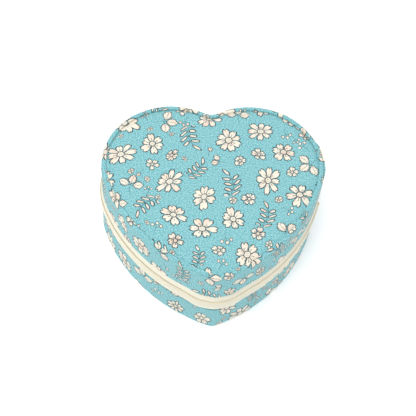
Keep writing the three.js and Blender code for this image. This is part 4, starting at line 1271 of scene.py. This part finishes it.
clear, tree, shader = material("clear acrylic", (0.97, 0.99, 1.0), 0.03, Transmission_Weight=1.0, IOR=1.2)
haze = noise(tree, object_place(tree), 0.3, 3)
tree.links.new(ranged(haze, 0.01, 0.06).socket, shader.inputs["Roughness"])
mirror, tree, shader = material("mirror glass", (0.93, 0.95, 0.95), 0.02, metallic=1.0)
haze = noise(tree, object_place(tree), 0.08, 4)
tree.links.new(ranged(haze.ramp(0.4, 0.8), 0.008, 0.03).socket, shader.inputs["Roughness"])

FINISHES = {
    "grey_board": fibrous("grey board", linear(146, 138, 126), linear(176, 168, 155), 0.9, 2, 1.2),
    "plywood": fibrous("birch plywood", linear(196, 160, 112), linear(222, 193, 150), 0.65, 9, 0.9),
    "velvet": velvet,
    "printed_cotton": printed_cotton,
    "zip_tape": zip_tape,
    "zip_coil": zip_coil,
    "gilt_metal": metal("gilt", linear(214, 178, 104), linear(240, 212, 148), 0.14, 0.34),
    "key_brass": metal("key brass", linear(206, 168, 88), linear(232, 200, 124), 0.16, 0.36),
    "brass": metal("cut brass", linear(196, 158, 84), linear(224, 190, 116), 0.2, 0.42),
    "steel": metal("steel", linear(150, 152, 156), linear(196, 198, 200), 0.18, 0.4),
    "cast_zinc": metal("cast zinc", linear(132, 134, 136), linear(168, 170, 171), 0.34, 0.55),
    "moulded_plastic": plastic("moulded plastic", linear(236, 228, 208), linear(246, 241, 228), 0.38),
    "fan_plastic": plastic("fan plastic", linear(240, 235, 222), linear(249, 246, 238), 0.35),
    "clear_acrylic": clear,
    "mirror_glass": mirror,
}
BEVELS = {"velvet": 0.55, "gilt_metal": 0.28, "key_brass": 0.4, "moulded_plastic": 0.3, "mirror_glass": 0.5,
          "clear_acrylic": 0.15, "grey_board": 0.15, "plywood": 0.2, "zip_coil": 0.3}
FINE_BEVEL = 0.08
SLIVER = 1e-13


def softened(node, width):
    """A copy of a CAD solid with its points merged and its edges rounded to width millimetres,
    cleared of the slivers that rounding can leave."""
    copy = frame["nodes"][node].data.copy()
    work = bmesh.new()
    work.from_mesh(copy)
    bmesh.ops.remove_doubles(work, verts=work.verts, dist=1e-6)
    bmesh.ops.dissolve_limit(work, angle_limit=math.radians(1), verts=work.verts, edges=work.edges)
    work.to_mesh(copy)
    work.free()
    piece = bpy.data.objects.new(node + "_finished", copy)
    bpy.context.scene.collection.objects.link(piece)
    bevel = piece.modifiers.new("bevel", "BEVEL")
    bevel.width, bevel.segments = width * MM, 3
    bevel.limit_method, bevel.angle_limit = "ANGLE", math.radians(32)
    bevel.harden_normals = True
    piece.data.shade_smooth()
    bake(piece)
    work = bmesh.new()
    work.from_mesh(piece.data)
    if any(face.calc_area() < SLIVER for face in work.faces):
        bmesh.ops.dissolve_degenerate(work, edges=work.edges, dist=MERGE)
        work.to_mesh(piece.data)
    work.free()
    return piece


bodies = frame["record"]["behaviour"]["bodies"]
body_of_node = {node: body for body, members in bodies.items() for node in members}
shown = [part for part in frame["record"]["subparts"] if not frame["nodes"][part["node"]].hide_render]
for part in shown:
    node, slot = part["node"], part["material_slot"]
    piece = softened(node, BEVELS.get(slot, FINE_BEVEL))
    piece.data.materials.clear()
    piece.data.materials.append(FINISHES[slot])
    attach(piece, body_of_node[node])
    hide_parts(node)

# ---------------------------------------------------------------- tune pins
# Fine steel pins stand in rows round the brass cylinder, one row to each tooth of the comb. They
# pluck the tune, so their places in the rows are a free arrangement.

low, high = (np.array(corner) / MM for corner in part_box("pinned_cylinder"))
DRUM_RADIUS, DRUM_Y, DRUM_Z = (high[2] - low[2]) / 2, (low[1] + high[1]) / 2, (low[2] + high[2]) / 2
TRACKS, PINS_EACH, PIN_SIDES = 18, 15, 5
random = np.random.default_rng(5)
track = np.repeat(np.arange(TRACKS), PINS_EACH)
pin_x = low[0] + (track + 0.5) / TRACKS * (high[0] - low[0])
beat = np.tile(np.arange(PINS_EACH), TRACKS) + random.uniform(0.1, 0.9, len(track))
pin_turn = beat / PINS_EACH * 2 * math.pi
a = np.arange(PIN_SIDES) / PIN_SIDES * 2 * math.pi
levels = np.array([(-0.2, 0.13), (0.32, 0.12), (0.42, 0.06)])
rise = DRUM_RADIUS + levels[:, 0]
local_x = pin_x[:, None, None] + levels[None, :, 1:2] * np.cos(a)[None, None]
sideways = levels[None, :, 1:2] * np.sin(a)[None, None] + 0 * local_x
out, turn = rise[None, :, None] + 0 * local_x, pin_turn[:, None, None]
pins = np.stack([local_x, DRUM_Y + out * np.cos(turn) - sideways * np.sin(turn),
                 DRUM_Z + out * np.sin(turn) + sideways * np.cos(turn)], -1)
k = np.arange(PIN_SIDES)
follow = (k + 1) % PIN_SIDES
first = np.arange(len(pins))[:, None, None] * len(levels) * PIN_SIDES
walls = [first + np.stack([k, follow, PIN_SIDES + follow, PIN_SIDES + k], 1) + ring * PIN_SIDES
         for ring in range(len(levels) - 1)]
ends = [first + np.stack([k + (len(levels) - 1) * PIN_SIDES, k[::-1]])]
faces = [face for group in walls + ends for face in group.reshape(-1, group.shape[-1]).tolist()]
pin_mesh = bpy.data.meshes.new("tune_pins")
pin_mesh.from_pydata((pins.reshape(-1, 3) * MM).tolist(), [], faces)
tune_pins = bpy.data.objects.new("tune_pins", pin_mesh)
bpy.context.scene.collection.objects.link(tune_pins)
face_out(tune_pins)
pin_mesh.materials.append(FINISHES["steel"])
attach(tune_pins, "cylinder")
